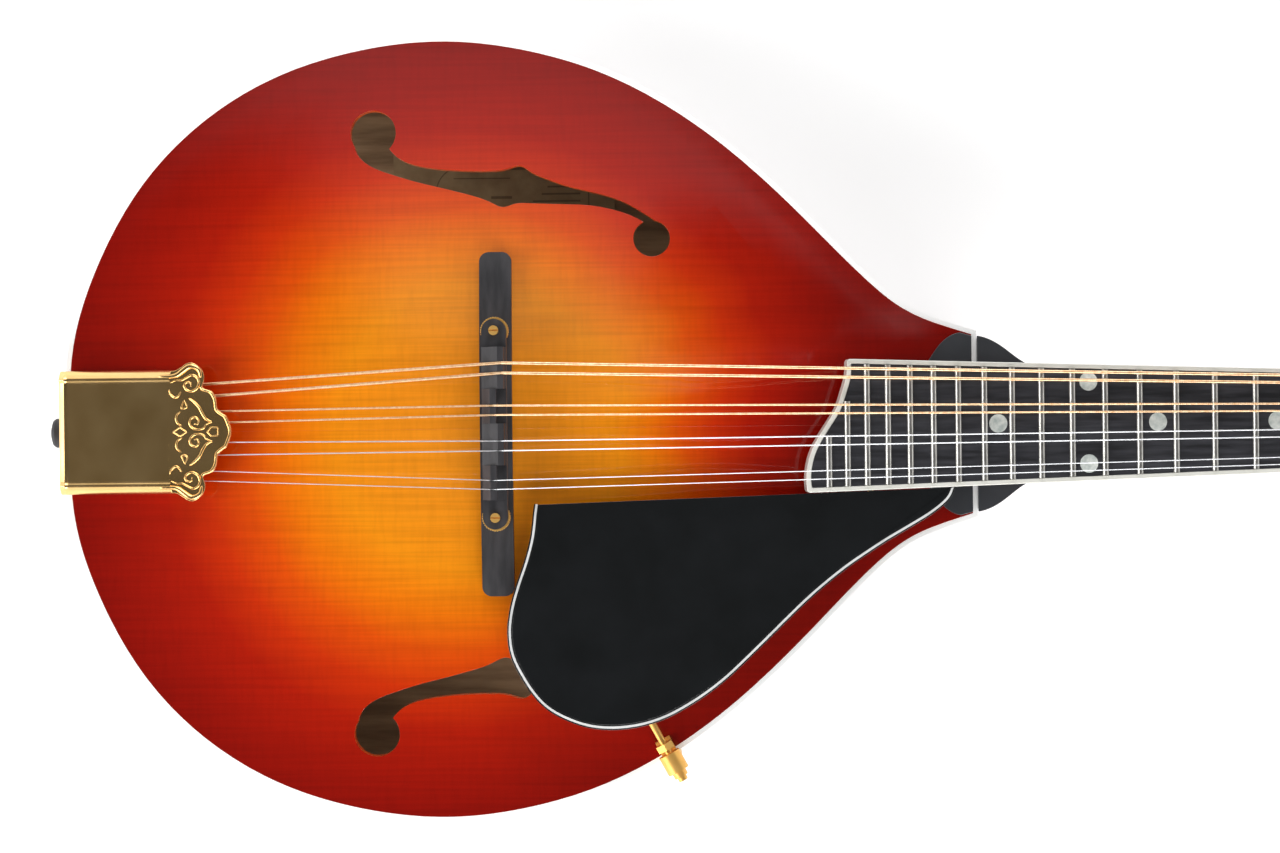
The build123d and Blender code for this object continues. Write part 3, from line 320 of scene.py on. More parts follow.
def mottled(name, dark, light, rough, scale, metal=0.0, coat=0.0, spread=0.1):
    """Even material with a faint change of tone and of polish."""
    shader = Shader(name, light, rough=rough, metal=metal, coat=coat)
    cloud = shader.noise(scale, detail=3.0)
    shader.colour(shader.ramp(cloud, [(0.3, dark), (0.7, light)]))
    polish = shader.math("ADD", shader.math("MULTIPLY", cloud, spread), rough - spread / 2)
    shader.join(polish, shader.base.inputs["Roughness"])
    return shader.material


# the label's print in millimetres: centre and half size, and for the frame its corner radius
LABEL_FRAME = (-2.3, 66.0, 25.6, 22.0, 9.0)
LABEL_RULES = [
    (-12.5, 84.0, 9.5, 0.18), (-4.0, 87.2, 12.0, 0.5), (14.0, 78.6, 6.5, 0.3), (12.5, 76.2, 8.0, 0.3),
    (-6.0, 77.6, 3.5, 0.45), (15.0, 81.0, 5.5, 0.3),
]


def label_paper():
    """Paper, darker than fresh paper as painted shade of the body's inside, with a printed frame and blank
    ruled lines.
    """
    # painted shade: the paper's tones are darkened to stand in for the shade inside the body
    shader = Shader("shaded_paper_finish", linear(150, 130, 104), rough=0.85)
    tones = [(0.3, linear(136, 116, 90)), (0.7, linear(164, 144, 114))]
    fibres = shader.ramp(shader.noise(160, detail=6.0), tones)
    places = shader.add("ShaderNodeSeparateXYZ")
    shader.join(shader.place((1000, 1000, 1000)), places.inputs[0])

    def away(axis, centre):
        return shader.math("ABSOLUTE", shader.math("SUBTRACT", places.outputs[axis], centre))

    x, y, half_x, half_y, corner = LABEL_FRAME
    beyond = [
        shader.math("MAXIMUM", shader.math("SUBTRACT", away(axis, centre), half - corner), 0.0)
        for axis, centre, half in ((0, x + SHIFT_X, half_x), (1, y, half_y))
    ]
    squares = [shader.math("MULTIPLY", value, value) for value in beyond]
    radius = shader.math("SQRT", shader.math("ADD", *squares))
    ink = shader.math("LESS_THAN", shader.math("ABSOLUTE", shader.math("SUBTRACT", radius, corner)), 0.22)
    for x, y, half_x, half_y in LABEL_RULES:
        columns = shader.math("LESS_THAN", away(0, x + SHIFT_X), half_x)
        rows = shader.math("LESS_THAN", away(1, y), half_y)
        ink = shader.math("MAXIMUM", ink, shader.math("MULTIPLY", columns, rows))
    shader.colour(shader.mix(shader.math("MULTIPLY", ink, 0.55), fibres, linear(52, 40, 32)))
    return shader.material


def wound_metal():
    """Bronze winding of the bass strings."""
    shader = Shader("string_bronze_finish", linear(244, 208, 164), rough=0.32, metal=1.0)
    tone = shader.noise(900, detail=2.0)
    shader.colour(shader.ramp(tone, [(0.3, linear(232, 182, 134)), (0.7, linear(252, 222, 184))]))
    return shader.material


FINISHES = {
    "spruce_top": spruce(),
    "maple_back": maple("maple_back_finish", BACK_BURST, 26),
    "maple_neck": maple("maple_neck_finish", [(0.0, linear(122, 34, 14)), (1.0, linear(96, 22, 12))], 26),
    "inner_wood": grained(
        "inner_wood_finish", linear(128, 106, 84), linear(176, 150, 120), 0.8, (30, 260, 260),
    ),
    "ivoroid": mottled(
        "ivoroid_finish", linear(226, 225, 216), linear(234, 233, 225), 0.22, 120, coat=0.6, spread=0.06,
    ),
    "black_gloss": mottled(
        "black_gloss_finish", linear(15, 17, 18), linear(21, 23, 25), 0.22, 60, coat=1.0, spread=0.06,
    ),
    # painted light: the body binding is near pure white and glows a little, so that it reads as blown out by
    # the light
    "body_binding": mottled(
        "glowing_binding_finish", linear(252, 252, 250), linear(255, 255, 254), 0.4, 120, spread=0.06,
    ),
    # f-hole walls: the lacquered edge's own orange, made bright as painted light so that the walls read as
    # lit
    "hole_edge": mottled(
        "lit_hole_edge_finish", linear(222, 70, 10), linear(236, 92, 16), 0.3, 300, coat=0.6, spread=0.06,
    ),
    # painted reflection: the overlay is black; its grey colour here stands in for the sheen of the light it
    # reflects
    "overlay": mottled(
        "overlay_painted_sheen_finish", linear(56, 58, 62), linear(66, 68, 72), 0.34, 60, coat=0.6, spread=0.06,
    ),
    "guard_edge": mottled(
        "guard_edge_finish", linear(214, 215, 214), linear(238, 239, 238), 0.2, 90, coat=0.5, spread=0.06,
    ),
    "paper": label_paper(),
    "ebony": grained("ebony_finish", linear(38, 37, 40), linear(60, 58, 61), 0.55, (420, 60, 260)),
    "gold": mottled(
        "gold_finish", linear(248, 202, 130), linear(254, 214, 148), 0.24, 60, metal=1.0, spread=0.08,
    ),
    "satin_gold": mottled(
        "satin_gold_finish", linear(250, 190, 96), linear(255, 206, 120), 0.42, 60, metal=0.75, spread=0.08,
    ),
    "button": mottled(
        "button_finish", linear(226, 219, 203), linear(244, 240, 230), 0.2, 90, coat=0.7, spread=0.08,
    ),
    "nickel": mottled(
        "nickel_finish", linear(206, 204, 198), linear(232, 230, 224), 0.34, 240, metal=1.0, spread=0.08,
    ),
    "pearl": mottled(
        "pearl_finish", linear(176, 186, 182), linear(232, 234, 228), 0.16, 420, coat=0.9, spread=0.08,
    ),
    "bone": mottled("bone_finish", linear(222, 214, 190), linear(238, 231, 212), 0.35, 160, spread=0.08),
    "steel": mottled("steel_finish", linear(120, 120, 122), linear(150, 150, 150), 0.4, 200, metal=1.0),
    "string_steel": mottled(
        "string_steel_finish", linear(228, 230, 234), linear(246, 247, 250), 0.3, 500, metal=1.0,
    ),
    "string_bronze": wound_metal(),
}
# painted light: the body binding glows though it is no lamp, standing in for the blown-out light on it
binding_glow_base = FINISHES["body_binding"].node_tree.nodes["Principled BSDF"]
binding_glow_base.inputs["Emission Color"].default_value = (1.0, 1.0, 1.0, 1.0)
binding_glow_base.inputs["Emission Strength"].default_value = 0.14
FINGERBOARD = grained("fingerboard_finish", linear(34, 34, 37), linear(62, 62, 67), 0.40, (50, 700, 300))

for part in frame["record"]["subparts"]:
    shown = NODES[part["node"]]
    shown.data.materials.clear()
    finish = FINGERBOARD if part["node"] == "fingerboard" else FINISHES[part["material_slot"]]
    shown.data.materials.append(finish)


# ------------------------------------------------------------------ shape helpers
def make(name, vertices, faces, finish, smooth_angle=35.0):
    """A mesh object with smooth shading up to an angle."""
    mesh = bpy.data.meshes.new(name)
    mesh.from_pydata([tuple(v) for v in vertices], [], faces)
    mesh.materials.append(FINISHES[finish])
    for polygon in mesh.polygons:
        polygon.use_smooth = True
    mesh.set_sharp_from_angle(angle=radians(smooth_angle))
    mesh.update()
    piece = bpy.data.objects.new(name, mesh)
    bpy.context.scene.collection.objects.link(piece)
    return piece


def tube(points, radii, sides=12):
    """Vertices and faces of a round bar along a path, closed at both ends."""
    vertices, faces = [], []
    count = len(points)
    side = None
    for number, point in enumerate(points):
        before = points[max(number - 1, 0)]
        after = points[min(number + 1, count - 1)]
        along = (after - before).normalized()
        if side is None:
            side = along.orthogonal().normalized()
        side = (side - along * side.dot(along)).normalized()
        up = along.cross(side)
        radius = radii[number] if isinstance(radii, list) else radii
        for step in range(sides):
            turn = 2 * pi * step / sides
            vertices.append(point + radius * (side * cos(turn) + up * sin(turn)))
    for ring in range(count - 1):
        for step in range(sides):
            a = ring * sides + step
            b = ring * sides + (step + 1) % sides
            faces.append((a, b, b + sides, a + sides))
    faces.append(tuple(reversed(range(sides))))
    faces.append(tuple(range((count - 1) * sides, count * sides)))
    return vertices, faces


def gather(parts):
    """Several sets of vertices and faces as one."""
    vertices, faces = [], []
    for more_vertices, more_faces in parts:
        start = len(vertices)
        vertices += more_vertices
        faces += [tuple(index + start for index in face) for face in more_faces]
    return vertices, faces


def curve_through(points, steps=8):
    """Smooth line through points, each given as a vector."""
    line = []
    last = len(points) - 1
    for number in range(last):
        a = points[max(number - 1, 0)]
        b = points[number]
        c = points[number + 1]
        d = points[min(number + 2, last)]
        for step in range(steps):
            t = step / steps
            square = (2 * a - 5 * b + 4 * c - d) * t ** 2
            cube = (3 * b - a - 3 * c + d) * t ** 3
            line.append(0.5 * (2 * b + (c - a) * t + square + cube))
    return line + [points[-1]]


def plan(points):
    """Plan points as flat vectors."""
    return [Vector((x, y, 0)) for x, y in points]


def slab(points, place, z0, z1):
    """Vertices and faces of a plate over a closed plan."""
    count = len(points)
    vertices = [place(p.x, p.y, z1) for p in points] + [place(p.x, p.y, z0) for p in points]
    faces = [tuple(range(count)), tuple(reversed(range(count, 2 * count)))]
    for number in range(count):
        after = (number + 1) % count
        faces.append((number, number + count, after + count, after))
    return vertices, faces


def ribbon(first, second, place, z0, z1):
    """Vertices and faces of a flat strip between two lines of points."""
    count = len(first)
    vertices = []
    for line, z in ((first, z1), (second, z1), (second, z0), (first, z0)):
        vertices += [place(p.x, p.y, z) for p in line]
    faces = []
    for number in range(count - 1):
        for side in range(4):
            a = side * count + number
            b = (side + 1) % 4 * count + number
            faces.append((a, b, b + 1, a + 1))
    ends = [side * count for side in range(4)]
    faces.append(tuple(reversed(ends)))
    faces.append(tuple(end + count - 1 for end in ends))
    return vertices, faces


def bevelled(piece, width, angle=40.0, segments=2):
    """Rounds the sharp edges of a piece by a width in mm."""
    bevel = piece.modifiers.new("edges", "BEVEL")
    bevel.width = width / 1000
    bevel.segments = segments
    bevel.limit_method = "ANGLE"
    bevel.angle_limit = radians(angle)
    bevel.harden_normals = True
    return piece


def outward(piece):
    """Turns every face of a closed piece outwards."""
    work = bmesh.new()
    work.from_mesh(piece.data)
    bmesh.ops.recalc_face_normals(work, faces=work.faces)
    work.to_mesh(piece.data)
    work.free()
    return piece


def softened(node, width, second=None, chosen=None):
    """A copy of a CAD node with its sharp edges rounded, shown in its place.

    Faces for which chosen(centre, normal) holds get the second finish.
    """
    source = NODES[node]
    mesh = source.data.copy()
    if "custom_normal" in mesh.attributes:
        mesh.attributes.remove(mesh.attributes["custom_normal"])
    work = bmesh.new()
    work.from_mesh(mesh)
    bmesh.ops.remove_doubles(work, verts=work.verts, dist=2e-6)
    work.to_mesh(mesh)
    work.free()
    if second:
        mesh.materials.append(FINISHES[second])
    for polygon in mesh.polygons:
        polygon.use_smooth = True
        if second and chosen(polygon.center, polygon.normal):
            polygon.material_index = 1
    piece = bpy.data.objects.new(f"{node}_shown", mesh)
    bpy.context.scene.collection.objects.link(piece)
    if width:
        bevelled(piece, width, 32.0)
    else:
        mesh.set_sharp_from_angle(angle=radians(32.0))
    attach(piece, source["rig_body"])
    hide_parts(node)
    return piece


# ------------------------------------------------------------------ body
# node, width of its rounded edges and the finish that it gets in place of its own
SOFT_EDGES = [
    ("top_binding", 0.5, "body_binding"), ("back_binding", 0.5, "body_binding"),
    ("neck_joint_overlay", 0.3, "overlay"), ("bridge_base", 0.5, None), ("bridge_saddle", 0.25, None),
    ("fingerboard_binding", 0.35, None), ("headstock_overlay", 0.7, None),
    ("truss_rod_cover", 0.5, None), ("nut", 0.3, None), ("heel_cap", 0.5, None),
    ("tuner_plate_bass", 0.3, None), ("tuner_plate_treble", 0.3, None),
    ("pickguard_mounts", 0.25, "satin_gold"), ("pickguard_clamp", 0.3, "satin_gold"),
    ("bridge_studs", 0.45, "satin_gold"), ("thumbwheel_bass", 0.4, "satin_gold"),
    ("thumbwheel_treble", 0.4, "satin_gold"),
]


# Which faces of a piece get its second finish, from a face's centre and normal.
def faces_down(centre, normal):
    return normal.z < -0.4


def faces_up(centre, normal):
    return normal.z > 0.4


def faces_sideways(centre, normal):
    return abs(normal.z) <= 0.4


def faces_neck(centre, normal):
    return normal.x > 0.7


def faces_inside(centre, normal):
    inwards = at(ARCH_CENTRE_X, 0, 30) - centre
    return abs(normal.z) < 0.5 and normal.x * inwards.x + normal.y * inwards.y > 0


for side in ("bass", "treble"):
    top = softened(f"top_plate_{side}", 0.45, "inner_wood", faces_down)
    # the sideways faces of the f-hole walls take the bright orange, painted light standing in for the light
    # on the walls
    top.data.materials.append(FINISHES["hole_edge"])
    for polygon in top.data.polygons:
        if faces_sideways(polygon.center, polygon.normal):
            polygon.material_index = 2
    softened(f"back_plate_{side}", 0.4, "inner_wood", faces_up)
    softened(f"rib_{side}", 0.0, "inner_wood", faces_inside)
softened("neck_block", 0.0, "maple_back", faces_neck)
for name, width, finish in SOFT_EDGES:
    piece = softened(name, width)
    if finish:
        piece.data.materials[0] = FINISHES[finish]


# ------------------------------------------------------------------ tailpiece cover
COVER_FIELD_Z = 8.3
COVER_LENGTH = 37.0
COVER_HALF = 19.5
COVER_METAL = 0.7
COVER_FOOT = 1.05
# half of the cover's cross section
COVER_PROFILE = [
    (COVER_HALF, COVER_FOOT), (COVER_HALF, 5.6), (19.3, 6.4), (18.7, 7.2), (18.0, 7.9), (17.5, 8.35),
    (17.15, 8.65), (16.8, 8.8), (16.4, 8.78), (16.05, 8.55), (15.7, 8.34), (15.3, COVER_FIELD_Z),
]
# places along the bent rear and the share of the full height there
COVER_REAR = [
    (1.1, 0.0), (1.25, 0.55), (1.5, 0.9), (1.9, 0.97), (2.8, 0.975), (3.15, 1.03), (3.45, 1.035), (3.85, 1.0),
    (4.6, 1.0),
]
LIP_EDGE = [
    (37.3, 19.2), (38.9, 19.3), (40.8, 20.4), (42.5, 21.5), (44.1, 21.7), (45.9, 20.9), (47.4, 19.3),
    (48.0, 17.4), (47.8, 15.8), (47.4, 14.4), (48.1, 13.5), (50.3, 12.7), (51.5, 11.0), (51.9, 9.4),
    (52.0, 8.2), (52.3, 7.0), (53.5, 5.9), (54.8, 5.0), (55.5, 3.7), (55.9, 2.6), (56.4, 1.2), (56.5, 0.0),
]
EAR_EDGE = [
    (33.7, 17.4), (37.3, 17.4), (39.5, 17.9), (41.3, 19.2), (43.1, 20.4), (44.9, 20.4), (46.5, 19.2),
    (46.9, 17.0),
]
# half width of each raised line and its points
RELIEF = [
    (0.42, [(37.3, 15.4), (39.0, 16.2), (40.8, 16.2), (42.4, 17.0), (44.2, 17.8), (45.8, 17.0),
            (46.4, 15.4), (45.7, 13.6), (44.0, 12.7), (42.4, 13.2), (41.7, 14.6), (42.6, 15.6),
            (43.8, 15.2), (43.8, 14.2)]),
    (0.38, [(36.8, 13.2), (37.4, 11.8), (38.6, 10.8), (39.8, 11.3), (40.6, 12.6)]),
    (0.30, [(41.6, 10.0), (42.2, 8.9), (42.5, 7.9), (41.6, 7.3), (40.7, 7.5), (41.1, 8.7), (41.6, 10.0)]),
    (0.50, [(43.2, 10.5), (44.8, 9.3), (46.4, 7.6), (47.4, 5.6), (48.6, 3.9), (50.4, 3.0)]),
    (0.38, [(50.4, 3.0), (48.6, 2.3), (47.8, 1.2), (46.2, 0.7), (44.4, 1.1), (43.3, 2.5), (43.7, 4.1),
            (45.1, 4.6), (46.2, 3.6), (45.7, 2.4), (44.7, 2.5)]),
    (0.38, [(40.3, 6.3), (39.3, 5.3), (39.0, 4.0), (39.5, 2.7), (40.8, 1.8)]),
]
LOZENGES = [
    (0.26, [(38.0, 0.0), (40.1, 1.4), (42.3, 0.0), (40.1, -1.4), (38.0, 0.0)]),
    (0.26, [(48.8, 0.0), (50.1, 1.4), (52.3, 1.2), (52.3, -1.2), (50.1, -1.4), (48.8, 0.0)]),
]


def cover_shell():
    """Pressed sheet with rolled ridges, its rear bent down."""
    half = COVER_PROFILE + [(y, COVER_FIELD_Z) for y in (10.0, 5.0, 0.0)]
    section = half + [(-y, z) for y, z in reversed(half[:-1])]
    stations = COVER_REAR + [(x, 1.0) for x in (8.0, 14.0, 20.0, 26.0, 32.0, COVER_LENGTH)]
    pull = 1 - COVER_METAL / COVER_HALF
    outside, inside = [], []
    for x, share in stations:
        for y, z in section:
            outside.append(tail_at(x, y, COVER_FOOT + (z - COVER_FOOT) * share))
            under = COVER_FOOT + (z - COVER_FOOT - COVER_METAL) * share
            inside.append(tail_at(x + COVER_METAL * (1 - share), y * pull, under))
    width = len(section)
    total = len(outside)
    faces = []
    for row in range(len(stations) - 1):
        for column in range(width - 1):
            a = row * width + column
            b = a + width
            faces.append((a, b, b + 1, a + 1))
            faces.append((total + a, total + a + 1, total + b + 1, total + b))
    for row in range(len(stations) - 1):
        for column in (0, width - 1):
            a = row * width + column
            faces.append((a, a + width, a + width + total, a + total))
    for start in (0, (len(stations) - 1) * width):
        for column in range(width - 1):
            a = start + column
            faces.append((a, a + 1, a + 1 + total, a + total))
    return outside + inside, faces


def stroke(points, radius, z, taper=True):
    """Raised line along plan points, thin at its ends."""
    line = curve_through([Vector((x, y, 0)) for x, y in points], 6)
    count = len(line)
    radii = []
    for number in range(count):
        share = number / (count - 1)
        radii.append(radius / 1000 * (0.35 + 0.65 * sin(pi * share) ** 0.6 if taper else 1.0))
    return tube([tail_at(p.x, p.y, z) for p in line], radii, 10)


def flipped(points):
    """Plan points on the other side of the middle line."""
    return [(x, -y) for x, y in points]


def tailpiece_cover():
    """Cover with its scrolled lip and raised scrolls."""
    edge = curve_through(plan(LIP_EDGE), 4)
    other = [Vector((p.x, -p.y, 0)) for p in reversed(edge[:-1])]
    corner = COVER_LENGTH - 0.6
    outline = [Vector((corner, 15.0, 0))] + edge + other + [Vector((corner, -15.0, 0))]
    plate = slab(outline, tail_at, COVER_FIELD_Z - COVER_METAL, COVER_FIELD_Z + 0.02)
    lip = make("tailpiece_lip", *plate, "gold")
    bevelled(outward(lip), 0.25, 50.0)
    parts = []
    for turned in (list, flipped):
        for radius, points in RELIEF:
            parts.append(stroke(turned(points), radius, COVER_FIELD_Z))
        parts.append(stroke(turned(EAR_EDGE), 0.95, COVER_FIELD_Z - 0.1))
        inner = [(x - 0.5, y - 0.3) for x, y in LIP_EDGE[9:]]
        parts.append(stroke(turned(inner), 0.45, COVER_FIELD_Z, False))
    for radius, points in LOZENGES:
        corners = [tail_at(x, y, COVER_FIELD_Z) for x, y in points]
        for start, end in zip(corners, corners[1:]):
            parts.append(tube([start, end], radius / 1000, 8))
    relief = make("tailpiece_relief", *gather(parts), "gold", 50.0)
    shell = make("tailpiece_shell", *cover_shell(), "gold", 60.0)
    for piece in (lip, relief, outward(shell)):
        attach(piece, "tailpiece_cover")
        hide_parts("tailpiece_cover")


tailpiece_cover()


# ------------------------------------------------------------------ pickguard
GUARD_TOP_Z = 77.8
GUARD_TILT = 2.5
GUARD_THICKNESS = 2.0
GUARD_PLIES = [("black_gloss", 0.0, 0.45), ("guard_edge", 0.45, 1.2), ("black_gloss", 1.2, 1.6)]
GUARD_EDGE = [
    (6.5, -23.5), (6.1, -26.1), (5.2, -33.6), (3.3, -41.0), (0.7, -48.5), (-1.4, -55.9),
    (-2.3, -63.4), (-1.3, -70.9), (2.3, -78.4), (6.3, -84.2), (10.7, -88.3), (16.9, -91.6),
    (23.1, -93.6), (29.3, -94.3), (35.6, -94.0), (41.8, -92.8), (48.0, -90.6), (54.3, -87.3),
    (60.7, -83.2), (67.0, -78.3), (73.3, -72.5), (79.6, -66.5), (85.9, -60.4), (92.2, -54.5),
    (98.5, -49.2), (104.8, -44.4), (111.1, -40.2), (117.3, -36.3), (123.6, -32.7),
    (129.9, -29.0), (134.6, -25.6), (137.2, -22.8), (138.4, -19.95),
]
# slope of the straight edge, which runs from the first to the last point
GUARD_RISE = (GUARD_EDGE[-1][1] - GUARD_EDGE[0][1]) / (GUARD_EDGE[-1][0] - GUARD_EDGE[0][0])


def guard_at(x, y, z):
    """A point of the pickguard's frame."""
    a, b, c = tilted(GUARD_TILT, x, y, z)
    return at(a, b, c + GUARD_TOP_Z)


def guard_line(inset):
    """Curved edge of the pickguard, moved inwards."""
    edge = curve_through(plan(GUARD_EDGE), 4)
    moved = []
    for number, point in enumerate(edge):
        along = (edge[min(number + 1, len(edge) - 1)] - edge[max(number - 1, 0)]).normalized()
        x = point.x - inset * along.y
        y = point.y + inset * along.x
        limit = GUARD_EDGE[0][1] + (x - GUARD_EDGE[0][0]) * GUARD_RISE
        moved.append(Vector((x, min(y, limit), 0)))
    return moved


def pickguard():
    """Black field and the plies of its curved edge."""
    shape = slab(guard_line(GUARD_PLIES[-1][2]), guard_at, -GUARD_THICKNESS, 0)
    field = make("pickguard_field", *shape, "black_gloss")
    bevelled(outward(field), 0.2, 50.0)
    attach(field, ROOT)
    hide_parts("pickguard")
    for number, (finish, first, second) in enumerate(GUARD_PLIES):
        shape = ribbon(guard_line(first), guard_line(second), guard_at, -GUARD_THICKNESS, 0)
        ply = outward(make(f"pickguard_ply_{number}", *shape, finish))
        bevelled(ply, 0.12, 50.0)
        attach(ply, ROOT)
        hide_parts("pickguard_binding")


pickguard()


# ------------------------------------------------------------------ strings
BRIDGE_Y = [20.2, 17.1, 7.1, 4.2, -3.8, -6.8, -15.9, -18.7]
HOOK_Y = [14.1, 10.1, 6.2, 2.5, -3.3, -7.5, -11.8, -15.0]
NUT_Y = [11.7, 9.7, 4.5, 2.5, -2.5, -4.5, -9.7, -11.7]
STRING_RADIUS = [0.51, 0.51, 0.33, 0.33, 0.19, 0.19, 0.14, 0.14]
CREST_X = [-2.9, -2.9, -5.3, -5.3, -2.9, -2.9, -5.3, -5.3]
STRING_POST = [0, 1, 2, 3, 7, 6, 5, 4]
# kind of string, their numbers and their finish
STRING_KINDS = [("wound", range(4), "string_bronze"), ("plain", range(4, 8), "string_steel")]
WOUND_COUNT = 4
WINDING_PITCH = 0.6
SADDLE_STRING_Z = 88.5
NUT_STRING_Z = 1.6
HOOK_X = 33.0
HOOK_Z = 2.4
WAIST_RADIUS = 2.5
WAIST_GAP = 0.15
EYE_Z = 8.5


def string_line(start, end, number):
    """Straight run of one string, its winding as ripples."""
    radius = STRING_RADIUS[number] / 1000
    if number >= WOUND_COUNT:
        return tube([start, end], radius, 10)
    length = (end - start).length * 1000
    count = round(length / WINDING_PITCH * 3)
    points = [start.lerp(end, step / count) for step in range(count + 1)]
    radii = [radius * (1.0 if step % 3 else 0.86) for step in range(count + 1)]
    return tube(points, radii, 8)


def post_place(number):
    """Post of a string: its place along and across the headstock and its side."""
    spot = STRING_POST[number]
    side = 1 if spot < 4 else -1
    return POST_FIRST_X + spot % 4 * POST_SPACING, side * POST_Y, side


def string_knots(number):
    """Hook, saddle, nut and post points of one string."""
    x, y, side = post_place(number)
    reach = WAIST_RADIUS + STRING_RADIUS[number] + WAIST_GAP
    return [
        tail_at(HOOK_X, HOOK_Y[number], HOOK_Z),
        at(CREST_X[number], BRIDGE_Y[number], SADDLE_STRING_Z),
        neck_at(SCALE_LENGTH + 1.0, NUT_Y[number], NUT_STRING_Z),
        head_at(x, y - side * reach, STRING_POST_Z),
    ]


def string_coil(number):
    """Turns of a string round the waist of its post, its end in the eye."""
    x, y, side = post_place(number)
    wire = STRING_RADIUS[number]
    reach = WAIST_RADIUS + wire + WAIST_GAP
    rise = 2.15 * wire
    turns = min(3.0, (EYE_Z - 1.4 - STRING_POST_Z) / rise + 1.5)
    count = round(turns * 24)
    points = []
    for step in range(count + 1):
        turn = 2 * pi * step / 24
        low = STRING_POST_Z - rise * min(turn, pi) / pi if turns < 3 else STRING_POST_Z
        z = low + rise * max(turn - pi, 0) / (2 * pi)
        points.append(head_at(x + reach * sin(turn), y - side * reach * cos(turn), z))
    points.append(head_at(x, y, EYE_Z))
    return tube(points, wire / 1000, 8)


def string_end(number):
    """Loop of a string round its hook."""
    y = HOOK_Y[number]
    wire = STRING_RADIUS[number]
    points = [tail_at(HOOK_X + 3.0, y, HOOK_Z + 0.2)]
    for step in range(13):
        turn = pi * (step - 6) / 6
        points.append(tail_at(HOOK_X - 2.4 - 1.6 * cos(turn), y + (1.5 + wire) * sin(turn), HOOK_Z))
    points.append(tail_at(HOOK_X + 3.0, y, HOOK_Z - 0.2))
    return tube(points, wire / 1000, 8)


def strings():
    """Eight strings in groups that stay put or turn with a post."""
    for kind, numbers, finish in STRING_KINDS:
        node = f"strings_{kind}"
        knots = {number: string_knots(number) for number in numbers}

        def run(place, first):
            lines = [string_line(*knots[number][first:first + 2], number) for number in numbers]
            return make(f"{node}_{place}", *gather(lines), finish, 60.0)

        behind, before, beyond = run("behind", 0), run("before", 1), run("beyond", 2)
        loops = make(f"{node}_loops", *gather(string_end(number) for number in numbers), finish, 60.0)
        for piece in (behind, before, beyond, loops):
            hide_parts(node)
        tail_at(HOOK_X, 0, 9.0)
        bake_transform(behind)
        neck_at(SCALE_LENGTH, 0, 0)
        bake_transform(before)
        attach(beyond, ROOT)
        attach(loops, ROOT)
        for number in numbers:
            coil = make(f"string_coil_{number + 1}", *string_coil(number), finish, 60.0)
            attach(coil, f"tuner_post_{STRING_POST[number] + 1}")


strings()


# ------------------------------------------------------------------ tuners
BUTTON_FROM_Y = (POST_Y + 17.4) / 1000


def on_button(centre, normal):
    """Whether a face of a knob belongs to its button and not to its shaft."""
    return abs(centre.y) > BUTTON_FROM_Y


for number in range(1, 9):
    knob = softened(f"tuner_knob_{number}", 0.0, "button", on_button)
    knob.data.materials[0] = FINISHES["gold"]


# ------------------------------------------------------------------ studio
def floor():
    """Pale floor that the back and the headstock rest on."""
    mesh = bpy.data.meshes.new("floor")
    half = FLOOR_SIZE / 2
    corners = [(-half, -half, 0), (half, -half, 0), (half, half, 0), (-half, half, 0)]
    mesh.from_pydata(corners, [], [(0, 1, 2, 3)])
    shader = Shader("floor_finish", linear(244, 244, 244), rough=0.9, specular=0.1)
    shader.base.inputs["Emission Color"].default_value = (1, 1, 1, 1)
    shader.base.inputs["Emission Strength"].default_value = 0.45
    mesh.materials.append(shader.material)
    ground = bpy.data.objects.new("floor", mesh)
    bpy.context.scene.collection.objects.link(ground)
    slope = atan2(SHIFT_Z, REST_SPAN)
    ground.matrix_world = Matrix.Translation(at(ARCH_CENTRE_X, 0, -0.3)) @ Matrix.Rotation(slope, 4, "Y")


def softbox(name, place, target, power):
    """Rectangular area light aimed at a point."""
    light = bpy.data.lights.new(name, "AREA")
    light.shape = "RECTANGLE"
    light.size, light.size_y = SOFTBOX_SIZE
    light.energy = power
    lamp = bpy.data.objects.new(name, light)
    bpy.context.scene.collection.objects.link(lamp)
    away = Vector(target) - Vector(place)
    lamp.matrix_world = Matrix.Translation(place) @ away.to_track_quat("-Z", "Y").to_matrix().to_4x4()


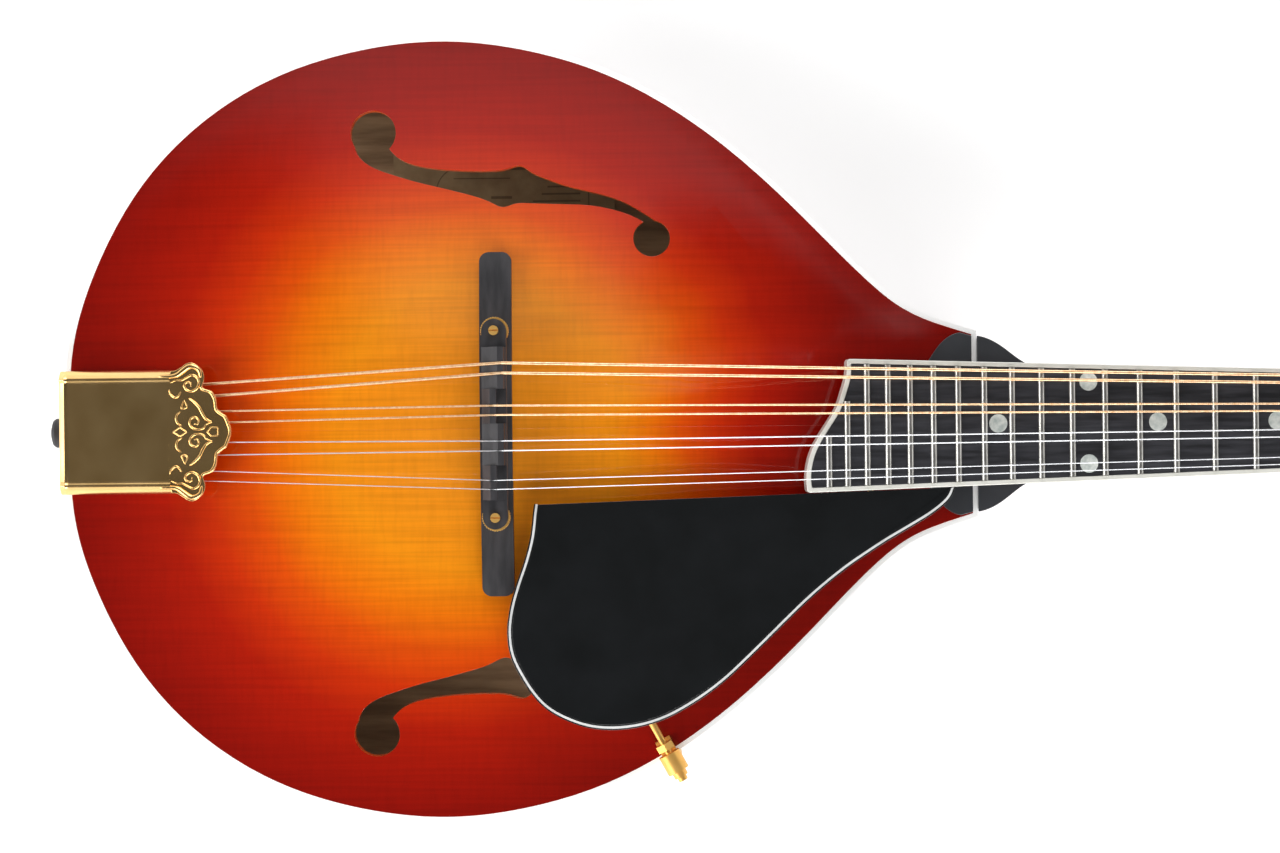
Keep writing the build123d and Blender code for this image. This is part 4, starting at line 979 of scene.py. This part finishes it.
def sky():
    """White light tent, dark overhead, with a soft overhead panel on the bass side."""
    world = bpy.data.worlds.new("studio")
    world.use_nodes = True
    nodes = world.node_tree.nodes
    links = world.node_tree.links
    parts = nodes.new("ShaderNodeSeparateXYZ")
    links.new(nodes.new("ShaderNodeTexCoord").outputs["Generated"], parts.inputs[0])

    def fade(axis, start, end, low, high):
        node = nodes.new("ShaderNodeMapRange")
        node.interpolation_type = "SMOOTHSTEP"
        for socket, value in zip(list(node.inputs)[1:5], (start, end, low, high)):
            socket.default_value = value
        links.new(parts.outputs[axis], node.inputs[0])
        return node.outputs["Result"]

    def joined(operation, first, second):
        node = nodes.new("ShaderNodeMath")
        node.operation = operation
        links.new(first, node.inputs[0])
        links.new(second, node.inputs[1])
        return node.outputs[0]

    along = joined("MULTIPLY", fade(0, -0.30, -0.12, 0.0, 1.0), fade(0, 0.15, 0.22, 1.0, 0.0))
    across = joined("MULTIPLY", fade(1, 0.08, 0.24, 0.0, 1.0), fade(1, 0.55, 0.80, 1.0, 0.0))
    panel = joined("MULTIPLY", joined("MULTIPLY", along, across), fade(2, 0.3, 0.6, 0.0, PANEL_LIGHT))
    tent = fade(2, 0.34, 0.66, TENT_LIGHT, OVERHEAD_LIGHT)
    nodes["Background"].inputs["Color"].default_value = (1.0, 1.0, 1.0, 1.0)
    links.new(joined("ADD", tent, panel), nodes["Background"].inputs["Strength"])
    bpy.context.scene.world = world


def inner_glow(x, y, power):
    """Weak light inside the sound chamber, out of sight from the f-holes."""
    light = bpy.data.lights.new("inner_glow", "POINT")
    light.energy = power
    light.shadow_soft_size = 0.008
    lamp = bpy.data.objects.new("inner_glow", light)
    bpy.context.scene.collection.objects.link(lamp)
    lamp.location = at(x, y, 50)
    lamp.visible_camera = False
    lamp.visible_glossy = False


def studio():
    """Floor, lights and world."""
    floor()
    sky()
    middle = at(20, 0, 70)
    for name, turn, power in SOFTBOXES:
        lean = radians(SOFTBOX_LEAN)
        side = Vector((cos(radians(turn)) * sin(lean), sin(radians(turn)) * sin(lean), cos(lean)))
        softbox(name, middle + SOFTBOX_DISTANCE * side, middle, power)
    inner_glow(-68, 46, 0.05)
    inner_glow(24, -42, 0.04)


def camera():
    """Straight down on the top, as the instrument is seen."""
    data = bpy.data.cameras.new("camera")
    data.lens = CAMERA_LENS
    data.sensor_width = 36.0
    data.clip_end = 20.0
    eye = bpy.data.objects.new("camera", data)
    bpy.context.scene.collection.objects.link(eye)
    roll = Matrix.Rotation(radians(CAMERA_ROLL), 4, "Z")
    eye.matrix_world = Matrix.Translation(at(*CAMERA_PLACE)) @ roll
    bpy.context.scene.camera = eye


bpy.context.scene.view_settings.view_transform = "Standard"
studio()
camera()
